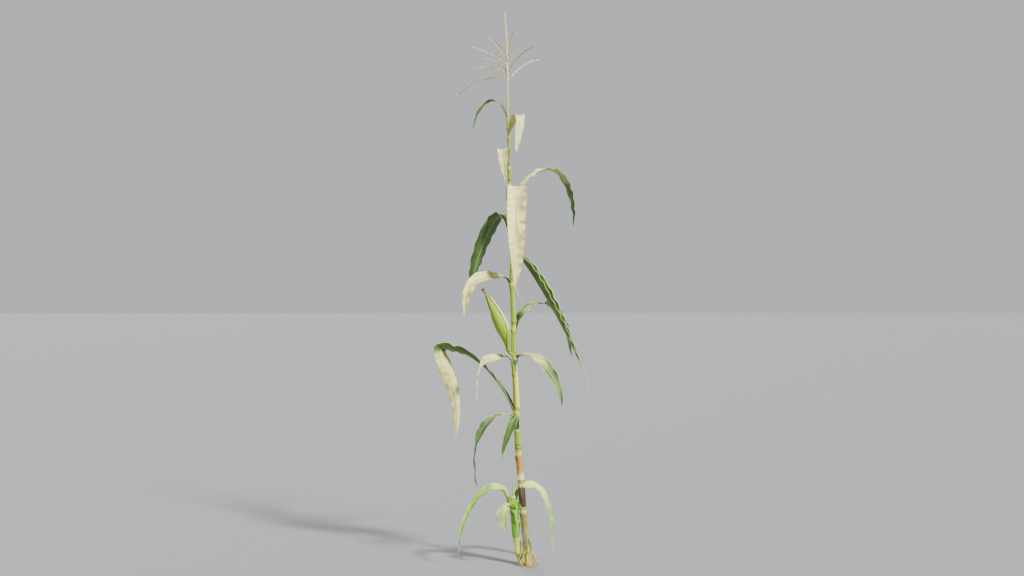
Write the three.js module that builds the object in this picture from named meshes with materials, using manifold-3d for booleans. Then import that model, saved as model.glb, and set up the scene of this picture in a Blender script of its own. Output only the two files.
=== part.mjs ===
// A maize plant with one ear, a tassel and a tiller at its foot
//
// Millimetres, +Z up. The origin is the middle of the flat cut under the stalk, at ground level.
// +X is to the right and +Y to the back, as the plant is seen from its front.
// A maize leaf has a sheath that wraps the stalk above its joint, and a blade that leaves the stalk
// at the collar, rises to a crest and falls to its tip. Sheath, rise and fall are three pieces, so
// that the space under the arch of a leaf stays open.

import * as THREE from 'three';
import { mergeVertices } from 'three/addons/utils/BufferGeometryUtils.js';
import Module from 'manifold-3d';

const wasm = await Module();
wasm.setup();

// Driving dimensions of the whole plant
const plantHeight = 2300;
const clearance = 0.3;
const degree = Math.PI / 180;
const up = new THREE.Vector3(0, 0, 1);
const steepTangent = 0.9;
const cornersMerge = 1e-4;
const seedFactor = 16807;
const seedModulus = 2147483647;

// The stalk: its foot, its taper, its lean and the heights of its joints
const stalkTop = 2000;
const stalkFootRadius = 14.5;
const stalkTopRadius = 3;
const stalkTaperPower = 0.8;
const stalkSides = 10;
const jointHeights = [60, 130, 235, 346, 477, 645, 872, 998, 1180, 1290, 1385, 1460, 1590, 1700, 1800];
const jointSwelling = 1.14;
const jointHalfHeight = 6;
const stalkLeanSlope = 0.024;
const stalkBowSize = 41;
const stalkBowHeight = 500;
const stalkSway = 14;
const zigzag = 1.2;
const rootFlareRadius = 19;
const rootFlareHeight = 14;

// The prop roots that spring from the lowest joint and stand on the ground
const propRootCount = 8;
const propRootFirst = -165;
const propRootStep = 38;
const propRootReach = 46;
const propRootRadius = 3.4;
const propRootTipShare = 0.8;
const propRootKnee = 0.75;
const propRootSteps = 3;
const propRootSides = 5;
const propRootDepth = 15;
const groundDepth = 60;
const groundWidth = 200;

// Sheaths, collars and blades
const sheathThickness = 2.4;
const sheathSlack = 0.45;
const sheathWrap = 2.3;
const sheathFoot = 10;
const sheathShortest = 4;
const sheathAcross = 6;
const collarWrap = 1.1;
const collarFlare = 1.22;
const collarHalfwayFlare = 0.6;
const drySheathFlare = 1.4;
const collarHeight = 26;
const claspWrap = 0.5;
const claspHeight = 22;
const bladeOpening = 90;
const bladeOpeningMost = 0.8;
const bladeThicknessShare = 0.0105;
const bladeMarginShare = 0.45;
const bladeTipHalfWidth = 1.6;
const bladeTipThickness = 1.8;
const bladeWidestAt = 0.38;
const bladeFootShare = 0.66;
const bladeTaperPower = 1.9;
const bladeTipPower = 0.85;
const bladeThinsFrom = 0.7;
const bladeTurnedBy = 0.4;
const riseSteps = 6;
const fallAcross = 4;
const fallSteps = 8;

// The tiller: a young side shoot from the same root
const tillerHeight = 285;
const tillerBearing = 162;
const tillerJoints = [40, 120, 200];
const tillerBend = new THREE.Vector3(-43, 13.4, tillerJoints[0]);
const tillerHead = new THREE.Vector3(-62, 16, tillerHeight);
const tillerFootRadius = 10.5;
const tillerTopRadius = 6.5;
const tillerFlare = 1.1;
const spindleHeight = 62;
const spindleLean = 6;
const spindleTipRadius = 1.5;

// The ear, in its husk, on a short shank at the seventh joint
const earJoint = 872;
const earBase = new THREE.Vector3(-85, -27, 892);
const earBelly = new THREE.Vector3(-86, -52, 976);
const earTip = new THREE.Vector3(-184, -66, 1140);
const earRadius = 30;
const earBaseRadius = 12;
const earSides = 14;
const earSteps = 11;
const huskShoulder = 0.28;
const huskArcStart = 0.2;
const huskArcSpan = 0.62;
const huskFullness = 0.8;
const huskBeakLength = 0.14;
const huskBeakShare = 0.2;
const shankRadius = 7;
const shankSetOff = 1.4;
const shankSides = 10;
const shankSteps = 4;
const silkLength = 34;
const silkRadius = 8;
const silkEndShare = 0.6;
const silkDroop = 0.3;
const silkSides = 8;
const silkSteps = 4;

// The tassel: a central spike and side branches that the wind has swept to the left
const tasselBranchCount = 13;
const tasselSpikeRadius = 6.5;
const tasselSpikeThickestAt = 0.25;
const tasselSpikeTipShare = 0.35;
const tasselSpikeBend = 0.6;
const tasselSpikeLean = 14;
const tasselSpikeSides = 8;
const tasselSpikeSteps = 9;
const tasselBranchLength = 250;
const tasselUpperLengthShare = 0.6;
const tasselLengthSpread = [0.8, 1.1];
const tasselBranchRadius = 4.4;
const tasselTipRadius = 2;
const tasselBranchSides = 5;
const tasselBranchSteps = 6;
const tasselFirstBranch = 10;
const tasselLastBranch = 100;
const tasselLowTilt = 68;
const tasselHighTilt = 30;
const tasselTiltSpread = [0.8, 1.15];
const tasselTurnSpread = [0, 30];
const tasselWindSweep = 0.34;
const tasselBranchBend = 0.55;
const tasselLowDroop = 0.55;
const tasselHighDroop = 0.15;
const tasselDroopSpread = [0.6, 1.3];
const tasselSeed = 11;
const goldenAngle = 137.5;

// Colours of the plant's parts
const stalkGreen = 0x9fa83f;
const sheathTan = 0xa9783f;
const sheathBrown = 0x6b4a2c;
const leafGreen = 0x5f8a4c;
const leafDark = 0x3c6341;
const leafPale = 0xdcdcae;
const huskGreen = 0xa3b04e;
const silkBrown = 0x6a3d24;
const tasselStraw = 0xc9ab6b;
const tillerGreen = 0x7ba83c;
const freshRoughness = 0.6;
const dryRoughness = 0.85;

// Small helpers

function point(x, y, z) {
  return new THREE.Vector3(x, y, z);
}

function mix(a, b, share) {
  return a + (b - a) * share;
}

function ease(share) {
  const held = Math.min(Math.max(share, 0), 1);
  return held * held * (3 - 2 * held);
}

function heading(angle) {
  return point(Math.cos(angle * degree), Math.sin(angle * degree), 0);
}

// The same row of numbers between 0 and 1 each time, from one seed
function numbersFrom(seed) {
  let state = seed;
  return () => {
    state = (state * seedFactor) % seedModulus;
    return state / seedModulus;
  };
}

// The next of those numbers, laid out over a range
function pick([least, most], random) {
  return mix(least, most, random());
}

// One closed body: corners in the same place become one
function closed(geometry) {
  geometry.deleteAttribute('normal');
  geometry.deleteAttribute('uv');
  const merged = mergeVertices(geometry, cornersMerge);
  merged.computeVertexNormals();
  return merged;
}

// A round limb through its stations, each with a centre, two directions across it and a radius
function limb(stations, sides) {
  const steps = stations.length - 1;
  const geometry = new THREE.CylinderGeometry(1, 1, 1, sides, steps);
  const at = geometry.attributes.position;
  for (let i = 0; i < at.count; i += 1) {
    const { centre, side, across, radius } = stations[Math.round((at.getY(i) + 0.5) * steps)];
    const place = centre.clone();
    place.addScaledVector(side, at.getX(i) * radius);
    place.addScaledVector(across, at.getZ(i) * radius);
    at.setXYZ(i, place.x, place.y, place.z);
  }
  return closed(geometry);
}

// A station of a limb that is cut level
function levelRing(centre, radius) {
  return { centre, side: point(1, 0, 0), across: point(0, -1, 0), radius };
}

// A limb along a curve, with its radius given by the share of the way along it
function curvedLimb(curve, radiusAt, sides, steps) {
  const stations = [];
  const steep = Math.abs(curve.getTangentAt(0).z) > steepTangent;
  let side = steep ? point(1, 0, 0) : up.clone();
  for (let step = 0; step <= steps; step += 1) {
    const along = curve.getTangentAt(step / steps);
    side = side.clone().addScaledVector(along, -side.dot(along)).normalize();
    const across = side.clone().cross(along);
    const centre = curve.getPointAt(step / steps);
    stations.push({ centre, side, across, radius: radiusAt(step / steps) });
  }
  return limb(stations, sides);
}

// A long thin strip through its stations, rolled about its length by the wrap angle of each
function strip(stations, across) {
  const steps = stations.length - 1;
  const geometry = new THREE.BoxGeometry(2, 1, 1, across, 1, steps);
  const at = geometry.attributes.position;
  for (let i = 0; i < at.count; i += 1) {
    const station = stations[Math.round((at.getZ(i) + 0.5) * steps)];
    const { centre, side, normal, half, wrap, thickness } = station;
    const share = at.getX(i);
    const roll = half / wrap;
    const thinned = thickness * (1 - (1 - bladeMarginShare) * share * share);
    const radius = roll - at.getY(i) * thinned;
    const place = centre.clone();
    place.addScaledVector(side, radius * Math.sin(share * wrap));
    place.addScaledVector(normal, roll - radius * Math.cos(share * wrap));
    at.setXYZ(i, place.x, place.y, place.z);
  }
  return closed(geometry);
}

function solidOf(geometry) {
  const vertProperties = new Float32Array(geometry.attributes.position.array);
  const triVerts = new Uint32Array(geometry.index.array);
  return new wasm.Manifold(new wasm.Mesh({ numProp: 3, vertProperties, triVerts }));
}

function geometryOf(solid) {
  const mesh = solid.getMesh();
  const geometry = new THREE.BufferGeometry();
  geometry.setAttribute('position', new THREE.BufferAttribute(new Float32Array(mesh.vertProperties), 3));
  geometry.setIndex(new THREE.BufferAttribute(new Uint32Array(mesh.triVerts), 1));
  geometry.computeVertexNormals();
  return geometry;
}

function fused(geometries) {
  return geometries.map(solidOf).reduce((whole, next) => whole.add(next));
}

function piece(name, geometry, color, roughness = freshRoughness) {
  const material = new THREE.MeshStandardMaterial({ color, roughness, metalness: 0 });
  const mesh = new THREE.Mesh(geometry, material);
  mesh.name = name;
  return mesh;
}

// Stems: a middle line that is straight from joint to joint, and a radius for each height

function makeStem(knots, radiusAt) {
  const middleAt = (height) => {
    const next = knots.findIndex((knot) => knot.z >= height);
    const last = Math.max(next, 1);
    const share = (height - knots[last - 1].z) / (knots[last].z - knots[last - 1].z);
    return knots[last - 1].clone().lerp(knots[last], share);
  };
  return { middleAt, radiusAt };
}

function stalkRadiusAt(height) {
  const share = (1 - height / stalkTop) ** stalkTaperPower;
  return mix(stalkTopRadius, stalkFootRadius, share);
}

function stalkKnot(height, index) {
  const x = -stalkLeanSlope * height - stalkBowSize * Math.tanh(height / stalkBowHeight);
  const y = stalkSway * Math.sin((Math.PI * height) / plantHeight);
  const turn = index % 2 === 0 ? zigzag : -zigzag;
  return point(height > 0 ? x + turn : 0, y, height);
}

const stalkStem = makeStem([0, ...jointHeights, stalkTop].map(stalkKnot), stalkRadiusAt);

// The tiller springs from the root flare of the stalk
const tillerSetOff = rootFlareRadius + clearance + tillerFootRadius * tillerFlare;
const tillerFoot = heading(tillerBearing).multiplyScalar(tillerSetOff);
const tillerStem = makeStem([tillerFoot, tillerBend, tillerHead], (height) =>
  mix(tillerFootRadius, tillerTopRadius, height / tillerHeight));

// Level rings up a stem, with a swelling at every joint
function stemRings(stem, joints, top, flare) {
  const ring = (height, size) => levelRing(stem.middleAt(height), stem.radiusAt(height) * size);
  const rings = [ring(0, flare), ring(rootFlareHeight, 1)];
  for (const joint of joints) {
    rings.push(ring(joint - jointHalfHeight, 1));
    rings.push(ring(joint, jointSwelling));
    rings.push(ring(joint + jointHalfHeight, 1));
  }
  rings.push(ring(top, 1));
  return rings;
}

function propRoot(index) {
  const out = heading(propRootFirst + index * propRootStep);
  const spring = stalkStem.middleAt(jointHeights[0]);
  const start = spring.clone().addScaledVector(out, stalkFootRadius / 2);
  const knee = spring.clone().addScaledVector(out, propRootReach * propRootKnee);
  const foot = point(0, 0, -propRootDepth).addScaledVector(out, propRootReach);
  const curve = new THREE.QuadraticBezierCurve3(start, knee, foot);
  const radiusAt = (share) => propRootRadius * mix(1, propRootTipShare, share);
  return curvedLimb(curve, radiusAt, propRootSides, propRootSteps);
}

function stalkGeometry() {
  const flare = rootFlareRadius / stalkFootRadius;
  const stem = limb(stemRings(stalkStem, jointHeights, stalkTop, flare), stalkSides);
  const roots = [];
  for (let index = 0; index < propRootCount; index += 1) {
    roots.push(propRoot(index));
  }
  const ground = closed(new THREE.BoxGeometry(groundWidth, groundWidth, groundDepth));
  ground.translate(0, 0, -groundDepth / 2);
  return geometryOf(fused([stem, ...roots]).subtract(solidOf(ground)));
}

// Leaves

// The share of the greatest width that a blade has, from its collar at 0 to its tip at 1
function bladeOutline(share) {
  if (share < bladeWidestAt) {
    return mix(bladeFootShare, 1, ease(share / bladeWidestAt));
  }
  const past = Math.min((share - bladeWidestAt) / (1 - bladeWidestAt), 1);
  return (1 - past ** bladeTaperPower) ** bladeTipPower;
}

// Where a leaf leaves its stem: the direction, and the radius at which its foot wraps the stem
function leafSeat(leaf) {
  const middle = leaf.stem.middleAt(leaf.collar);
  const out = leaf.crest.clone().sub(middle).setZ(0).normalize();
  const facet = Math.cos(sheathWrap / sheathAcross);
  const wrapped = (height) => {
    const layer = leaf.clasp ? leaf.clasp + clearance : 0;
    return (leaf.stem.radiusAt(height) + sheathSlack + layer) / facet + sheathThickness / 2;
  };
  return { out, side: up.clone().cross(out), wrapped };
}

function sheathStation(leaf, seat, height, wrap, flare) {
  const roll = seat.wrapped(height) * flare;
  return {
    centre: leaf.stem.middleAt(height).addScaledVector(seat.out, roll),
    side: seat.side,
    normal: seat.out.clone().negate(),
    half: roll * wrap,
    wrap,
    thickness: sheathThickness,
  };
}

function sheathStations(leaf, seat) {
  const foot = leaf.joint + sheathFoot;
  const shoulder = Math.max(leaf.collar - collarHeight, foot + sheathShortest);
  const halfway = (shoulder + leaf.collar) / 2;
  const halfwayWrap = (sheathWrap + collarWrap) / 2;
  return [
    sheathStation(leaf, seat, foot, sheathWrap, 1),
    sheathStation(leaf, seat, shoulder, sheathWrap, 1),
    sheathStation(leaf, seat, halfway, halfwayWrap, mix(1, collarFlare, collarHalfwayFlare)),
  ];
}

// The two curves of a blade's middle line: from the collar to the crest, and from there to the tip
function bladeCurves(leaf, seat) {
  const flare = leaf.clasp ? 1 : collarFlare;
  const start = leaf.stem.middleAt(leaf.collar);
  start.addScaledVector(seat.out, seat.wrapped(leaf.collar) * flare);
  const riseSpan = start.distanceTo(leaf.crest);
  const fallSpan = leaf.crest.distanceTo(leaf.tip);
  const over = leaf.crest.clone().sub(start).setZ(0).normalize();
  const lift = up.clone().addScaledVector(seat.out, leaf.open).normalize();
  const rise = new THREE.CubicBezierCurve3(
    start,
    start.clone().addScaledVector(lift, riseSpan * leaf.steep),
    leaf.crest.clone().addScaledVector(over, -riseSpan * leaf.arch),
    leaf.crest,
  );
  const fall = new THREE.CubicBezierCurve3(
    leaf.crest,
    leaf.crest.clone().addScaledVector(over, fallSpan * leaf.nose),
    leaf.tip.clone().addScaledVector(up, fallSpan * leaf.hang).add(leaf.belly),
    leaf.tip,
  );
  return { rise, fall };
}

// One cross-section of a blade, at its distance from the collar along the blade. tilt leans it
// forward, halfway between the rise and the fall where they meet in a fold.
function bladeStation(leaf, seat, curves, distance, tilt = 0) {
  const riseLength = curves.rise.getLength();
  const fallLength = curves.fall.getLength();
  const total = riseLength + fallLength;
  const onRise = distance <= riseLength;
  const curve = onRise ? curves.rise : curves.fall;
  const share = Math.min(onRise ? distance / riseLength : (distance - riseLength) / fallLength, 1);
  const along = curve.getTangentAt(share).addScaledVector(up, -tilt).normalize();
  const [turnCrest, turnTip] = leaf.turn;
  const turn = onRise ? turnCrest * ease(share) : mix(turnCrest, turnTip, ease(share / bladeTurnedBy));
  const side = seat.side.clone().addScaledVector(along, -seat.side.dot(along)).normalize();
  side.applyAxisAngle(along, turn * degree);
  const opened = ease(distance / Math.min(bladeOpening, bladeOpeningMost * total));
  const collarHalf = seat.wrapped(leaf.collar) * (leaf.clasp ? claspWrap : collarFlare * collarWrap);
  const fullHalf = Math.max((leaf.width / 2) * bladeOutline(distance / total), bladeTipHalfWidth);
  const full = Math.max(total * bladeThicknessShare, sheathThickness);
  const thickness = mix(sheathThickness, full, opened);
  const toTip = ease((distance / total - bladeThinsFrom) / (1 - bladeThinsFrom));
  return {
    centre: curve.getPointAt(share),
    side,
    normal: along.clone().cross(side),
    half: mix(collarHalf, fullHalf, opened),
    wrap: mix(leaf.clasp ? claspWrap : collarWrap, leaf.cup, opened),
    thickness: mix(thickness, bladeTipThickness, toTip),
  };
}

// The same cross-section, moved on along the leaf by the gap between two pieces
function pastGap(station) {
  const onward = station.side.clone().cross(station.normal);
  return { ...station, centre: station.centre.clone().addScaledVector(onward, clearance) };
}

function leafPieces(leaf) {
  const seat = leafSeat(leaf);
  const curves = bladeCurves(leaf, seat);
  const riseLength = curves.rise.getLength();
  const fallLength = curves.fall.getLength();
  const rise = [];
  for (let step = 0; step <= riseSteps; step += 1) {
    const tilt = step === riseSteps ? leaf.fold : 0;
    rise.push(bladeStation(leaf, seat, curves, (riseLength * step) / riseSteps, tilt));
  }
  const fall = [pastGap(rise[riseSteps])];
  for (let step = 1; step <= fallSteps; step += 1) {
    fall.push(bladeStation(leaf, seat, curves, riseLength + (fallLength * step) / fallSteps));
  }
  const pieces = [];
  if (leaf.clasp) {
    rise.unshift(sheathStation(leaf, seat, leaf.collar - claspHeight, claspWrap, 1));
  } else {
    const sheath = [...sheathStations(leaf, seat), rise[0]];
    rise[0] = pastGap(rise[0]);
    pieces.push(piece(`${leaf.name}_sheath`, strip(sheath, sheathAcross), leaf.color));
  }
  pieces.push(piece(`${leaf.name}_rise`, strip(rise, sheathAcross), leaf.color));
  pieces.push(piece(`${leaf.name}_fall`, strip(fall, fallAcross), leaf.color));
  return pieces;
}

// A dry sheath that has lost its blade, with its top standing a little open
function drySheathPiece({ name, joint, top, facing, color }) {
  const crest = stalkStem.middleAt(top).add(heading(facing));
  const sheath = { stem: stalkStem, joint, collar: top, crest };
  const seat = leafSeat(sheath);
  const mouth = sheathStation(sheath, seat, top, collarWrap, drySheathFlare);
  return piece(name, strip([...sheathStations(sheath, seat), mouth], sheathAcross), color, dryRoughness);
}

// The dry sheaths: the joint that each springs from, the height of its top and where it faces
const drySheaths = [
  { name: 'sheath_1', joint: 130, top: 222, facing: 40, color: sheathTan },
  { name: 'sheath_2', joint: 235, top: 330, facing: -130, color: sheathBrown },
  { name: 'sheath_3', joint: 346, top: 462, facing: 20, color: sheathTan },
];

// How a blade runs where its own line says nothing else. open is how far it leans out at the collar,
// steep and arch how long it keeps its direction there and before the crest, nose how far it reaches
// on over the crest, and hang how long it drops straight to its tip, with belly to push the fall
// sideways. cup is half the angle that its section rolls through, turn how many degrees it twists by
// the crest and by the tip, and fold how far its section leans forward at a folded crest.
const usualBlade = {
  open: 0.35, steep: 0.45, arch: 0.3, nose: 0.2, hang: 0.35, belly: point(0, 0, 0),
  cup: 0.3, turn: [0, 0], fold: 0,
};

// The leaves of the main stalk, from its foot to its top. joint is the height of the joint that the
// sheath springs from, and collar the height where the blade leaves the stalk. A leaf with a clasp
// has no sheath of its own and sits outside another leaf's sheath, which is as thick there as the
// clasp says.
const stalkLeaves = [
  {
    name: 'leaf_01', clasp: 2, collar: 560, width: 36, color: leafDark,
    crest: point(-58, -60, 616), tip: point(-112, -72, 442), turn: [0, -35],
  },
  {
    name: 'leaf_02', clasp: 2.4, collar: 606, width: 38, color: leafPale,
    crest: point(-96, -20, 626), tip: point(-211, -80, 333), turn: [-12, -40],
    nose: 0.4, hang: 0.5, belly: point(-35, 0, 0),
  },
  {
    name: 'leaf_03', joint: 477, collar: 636, width: 70, color: leafPale,
    crest: point(-366, 92, 896), tip: point(-323, 110, 486), turn: [15, 75],
    steep: 0.25, arch: 0.4, nose: 0.06, belly: point(75, 0, 0), fold: 0.9,
  },
  {
    name: 'leaf_04', joint: 645, collar: 856, width: 52, color: leafGreen,
    crest: point(-14, -14, 870), tip: point(136, -86, 650), turn: [10, 35], nose: 0.34,
  },
  {
    name: 'leaf_05', clasp: 1.7, collar: 846, width: 36, color: leafPale,
    crest: point(-150, -8, 864), tip: point(-194, -40, 688), turn: [-15, -50], nose: 0.22,
  },
  {
    name: 'leaf_06', joint: 872, collar: 985, width: 60, color: leafGreen,
    crest: point(62, 150, 1085), tip: point(190, 300, 830), nose: 0.3,
  },
  {
    name: 'leaf_07', joint: 998, collar: 1166, width: 52, color: leafPale,
    crest: point(-166, -44, 1198), tip: point(-262, -112, 1018), turn: [-12, -40], nose: 0.5,
  },
  {
    name: 'leaf_08', joint: 1180, collar: 1236, width: 66, color: leafDark, cup: 0.8,
    crest: point(-30, -22, 1262), tip: point(243, -170, 736), nose: 0.05, hang: 0.12,
  },
  {
    name: 'leaf_09', joint: 1290, collar: 1376, width: 72, color: leafDark,
    crest: point(-112, 72, 1458), tip: point(-248, 150, 1096), nose: 0.18,
  },
  {
    name: 'leaf_10', joint: 1385, collar: 1450, width: 82, color: leafPale, cup: 0.15,
    crest: point(-50, -116, 1564), tip: point(-30, -142, 1092), nose: 0.05, hang: 0.3,
  },
  {
    name: 'leaf_11', joint: 1460, collar: 1500, width: 62, color: leafGreen,
    crest: point(84, 108, 1648), tip: point(200, 250, 1390), nose: 0.3, steep: 0.3,
  },
  {
    name: 'leaf_12', joint: 1590, collar: 1650, width: 46, color: leafPale,
    crest: point(-106, -78, 1716), tip: point(-98, -92, 1580), nose: 0.12,
  },
  {
    name: 'leaf_13', joint: 1700, collar: 1776, width: 44, color: leafPale,
    crest: point(-40, -78, 1856), tip: point(-52, -100, 1690), nose: 0.12,
  },
  {
    name: 'leaf_14', joint: 1800, collar: 1856, width: 36, color: leafDark,
    crest: point(-150, 34, 1930), tip: point(-232, 62, 1800), nose: 0.3,
  },
].map((leaf) => ({ ...usualBlade, ...leaf, stem: stalkStem }));

const tillerLeaves = [
  {
    name: 'tiller_leaf_1', joint: 120, collar: 192, width: 36, color: tillerGreen,
    crest: point(-138, -6, 322), tip: point(-290, -60, 40), turn: [-12, -35],
    steep: 0.55, nose: 0.22, hang: 0.5,
  },
  {
    name: 'tiller_leaf_2', joint: 200, collar: 272, width: 34, color: tillerGreen,
    crest: point(2, 74, 338), tip: point(106, 84, 24), turn: [0, 30], nose: 0.35, hang: 0.5,
  },
  {
    name: 'tiller_leaf_3', joint: 40, collar: 108, width: 30, color: tillerGreen,
    crest: point(-94, -52, 236), tip: point(-98, -66, 122), steep: 0.6, nose: 0.2,
  },
].map((leaf) => ({ ...usualBlade, ...leaf, stem: tillerStem }));

// The ear

function earCurve() {
  return new THREE.QuadraticBezierCurve3(earBase, earBelly, earTip);
}

function huskRadius(share) {
  const body = Math.sin(Math.PI * (huskArcStart + share * huskArcSpan)) ** huskFullness;
  const beak = ease((share - 1 + huskBeakLength) / huskBeakLength);
  return mix(earBaseRadius, earRadius, ease(share / huskShoulder)) * mix(body, huskBeakShare, beak);
}

function huskPiece() {
  return piece('ear_husk', curvedLimb(earCurve(), huskRadius, earSides, earSteps), huskGreen);
}

function shankPiece() {
  const middle = stalkStem.middleAt(earJoint);
  const out = earBase.clone().sub(middle).setZ(0).normalize();
  const reach = stalkRadiusAt(earJoint) * jointSwelling + clearance + shankSetOff;
  const start = middle.clone().addScaledVector(out, reach);
  const along = earCurve().getTangentAt(0);
  const end = earBase.clone().addScaledVector(along, -clearance);
  const bend = end.clone().addScaledVector(along, -shankRadius);
  const curve = new THREE.QuadraticBezierCurve3(start, bend, end);
  return piece('ear_shank', curvedLimb(curve, () => shankRadius, shankSides, shankSteps), stalkGreen);
}

function silkPiece() {
  const along = earCurve().getTangentAt(1);
  const start = earTip.clone().addScaledVector(along, clearance);
  const bend = start.clone().addScaledVector(along, silkLength / 2);
  const end = start.clone().addScaledVector(along, silkLength * (1 - silkDroop));
  end.addScaledVector(up, -silkLength * silkDroop);
  const curve = new THREE.QuadraticBezierCurve3(start, bend, end);
  const radiusAt = (share) => silkRadius * mix(silkEndShare, 1, Math.sin(Math.PI * share));
  return piece('ear_silk', curvedLimb(curve, radiusAt, silkSides, silkSteps), silkBrown, dryRoughness);
}

// The tassel

function tasselBranch(index, random) {
  const share = index / (tasselBranchCount - 1);
  const height = mix(tasselFirstBranch, tasselLastBranch, share);
  const tilt = mix(tasselLowTilt, tasselHighTilt, share) * pick(tasselTiltSpread, random) * degree;
  const out = heading(index * goldenAngle + pick(tasselTurnSpread, random));
  const along = out.multiplyScalar(Math.sin(tilt));
  along.add(point(-tasselWindSweep, 0, Math.cos(tilt))).normalize();
  const longest = tasselBranchLength * mix(1, tasselUpperLengthShare, share);
  const length = longest * pick(tasselLengthSpread, random);
  const start = stalkStem.middleAt(stalkTop).add(point(0, 0, height));
  const bend = start.clone().addScaledVector(along, length * tasselBranchBend);
  const droop = length * mix(tasselLowDroop, tasselHighDroop, share) * pick(tasselDroopSpread, random);
  const end = start.clone().addScaledVector(along, length).addScaledVector(up, -droop);
  const curve = new THREE.QuadraticBezierCurve3(start, bend, end);
  const radiusAt = (far) => mix(tasselBranchRadius, tasselTipRadius, far);
  return curvedLimb(curve, radiusAt, tasselBranchSides, tasselBranchSteps);
}

function tasselPiece() {
  const foot = stalkStem.middleAt(stalkTop).add(point(0, 0, clearance));
  const head = point(foot.x - tasselSpikeLean, foot.y, plantHeight);
  const bend = point(foot.x, foot.y, mix(stalkTop, plantHeight, tasselSpikeBend));
  const spike = new THREE.QuadraticBezierCurve3(foot, bend, head);
  const spikeRadius = (share) => {
    const swelled = mix(stalkTopRadius, tasselSpikeRadius, ease(share / tasselSpikeThickestAt));
    return swelled * mix(1, tasselSpikeTipShare, share);
  };
  const random = numbersFrom(tasselSeed);
  const parts = [curvedLimb(spike, spikeRadius, tasselSpikeSides, tasselSpikeSteps)];
  for (let index = 0; index < tasselBranchCount; index += 1) {
    parts.push(tasselBranch(index, random));
  }
  return piece('tassel', geometryOf(fused(parts)), tasselStraw);
}

// The tiller's stem, and the rolled young leaves that stand out of its top

function tillerPieces() {
  const stem = limb(stemRings(tillerStem, tillerJoints, tillerHeight, tillerFlare), stalkSides);
  const foot = tillerHead.clone().add(point(0, 0, clearance));
  const head = foot.clone().add(point(-spindleLean, 0, spindleHeight));
  const spindle = limb([levelRing(foot, tillerTopRadius), levelRing(head, spindleTipRadius)], stalkSides);
  return [piece('tiller_stem', stem, tillerGreen), piece('tiller_spindle', spindle, tillerGreen)];
}

// The whole plant

const plant = new THREE.Group();
plant.add(piece('stalk', stalkGeometry(), stalkGreen));
plant.add(...drySheaths.map(drySheathPiece));
for (const leaf of [...stalkLeaves, ...tillerLeaves]) {
  plant.add(...leafPieces(leaf));
}
plant.add(shankPiece());
plant.add(huskPiece());
plant.add(silkPiece());
plant.add(tasselPiece());
plant.add(...tillerPieces());

export default plant;
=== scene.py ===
# %% [markdown]
# # A maize plant, from its prop roots to its tassel
#
# A maize plant is one jointed stem. Every joint bears one leaf, whose lower part wraps the stem as a
# sheath and whose blade arches away from it. One joint bears the ear, and the stem ends in a tassel.
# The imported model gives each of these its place, so every piece here grows from the same few measures
# in millimetres, and is brought to Blender's metres when it is finished.

# %% The frame and the numbers behind every piece
import math
from bisect import bisect_right
from types import SimpleNamespace

import bmesh
import bpy
from mathutils import Matrix, Quaternion, Vector, noise
from mathutils.geometry import interpolate_bezier


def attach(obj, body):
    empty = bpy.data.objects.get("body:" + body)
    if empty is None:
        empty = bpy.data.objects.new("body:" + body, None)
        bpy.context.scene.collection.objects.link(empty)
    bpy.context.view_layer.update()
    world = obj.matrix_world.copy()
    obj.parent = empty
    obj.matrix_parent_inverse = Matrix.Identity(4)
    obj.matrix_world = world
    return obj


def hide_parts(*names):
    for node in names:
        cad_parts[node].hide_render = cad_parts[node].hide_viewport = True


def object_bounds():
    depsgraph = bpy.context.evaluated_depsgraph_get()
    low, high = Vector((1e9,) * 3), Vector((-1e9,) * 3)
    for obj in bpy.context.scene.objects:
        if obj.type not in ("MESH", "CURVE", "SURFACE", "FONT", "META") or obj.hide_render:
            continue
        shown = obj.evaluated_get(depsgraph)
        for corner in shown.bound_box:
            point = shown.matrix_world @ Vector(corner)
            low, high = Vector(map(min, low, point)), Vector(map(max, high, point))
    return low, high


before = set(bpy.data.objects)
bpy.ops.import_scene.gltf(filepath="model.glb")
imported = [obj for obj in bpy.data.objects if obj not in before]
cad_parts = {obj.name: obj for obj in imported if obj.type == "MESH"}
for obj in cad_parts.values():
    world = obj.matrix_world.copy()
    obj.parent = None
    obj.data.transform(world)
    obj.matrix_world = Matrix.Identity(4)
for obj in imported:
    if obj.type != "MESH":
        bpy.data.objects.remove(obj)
cad_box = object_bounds()
MILLIMETRE = 0.001
RIGHT, BACK, UP = Vector((1, 0, 0)), Vector((0, 1, 0)), Vector((0, 0, 1))
SEED_FACTOR = 16807
SEED_MODULUS = 2147483647


def mix(first, second, share):
    return first + (second - first) * share


def ease(share):
    held = min(max(share, 0.0), 1.0)
    return held * held * (3 - 2 * held)


def hump(distance, reach):
    """A smooth hill, 1 in its middle and nearly nothing past twice its reach."""
    return math.exp(-((distance / reach) ** 2))


def round_about(side, across, angle):
    """The way that lies at an angle between two ways that are square to each other."""
    return side * math.cos(angle) + across * math.sin(angle)


def heading(degrees):
    return round_about(RIGHT, BACK, math.radians(degrees))


def level(way):
    """The direction of a way as it is seen from above."""
    return (way * Vector((1, 1, 0))).normalized()


def square_to(way, side):
    """The direction nearest to side that is square to way."""
    return (side - way * side.dot(way)).normalized()


def evenly(length, rows):
    """The distances at which a length is cut into rows."""
    return [length * step / rows for step in range(rows + 1)]


def numbers_from(seed):
    """The same row of numbers between 0 and 1 each time, from one seed."""
    state = seed

    def following():
        nonlocal state
        state = (state * SEED_FACTOR) % SEED_MODULUS
        return state / SEED_MODULUS

    return following


def pick(span, random):
    return mix(span[0], span[1], random())


def drift(*place):
    """A smooth wandering value between about -1 and 1."""
    return noise.noise(Vector(place + (0.0,) * (3 - len(place))))


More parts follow.
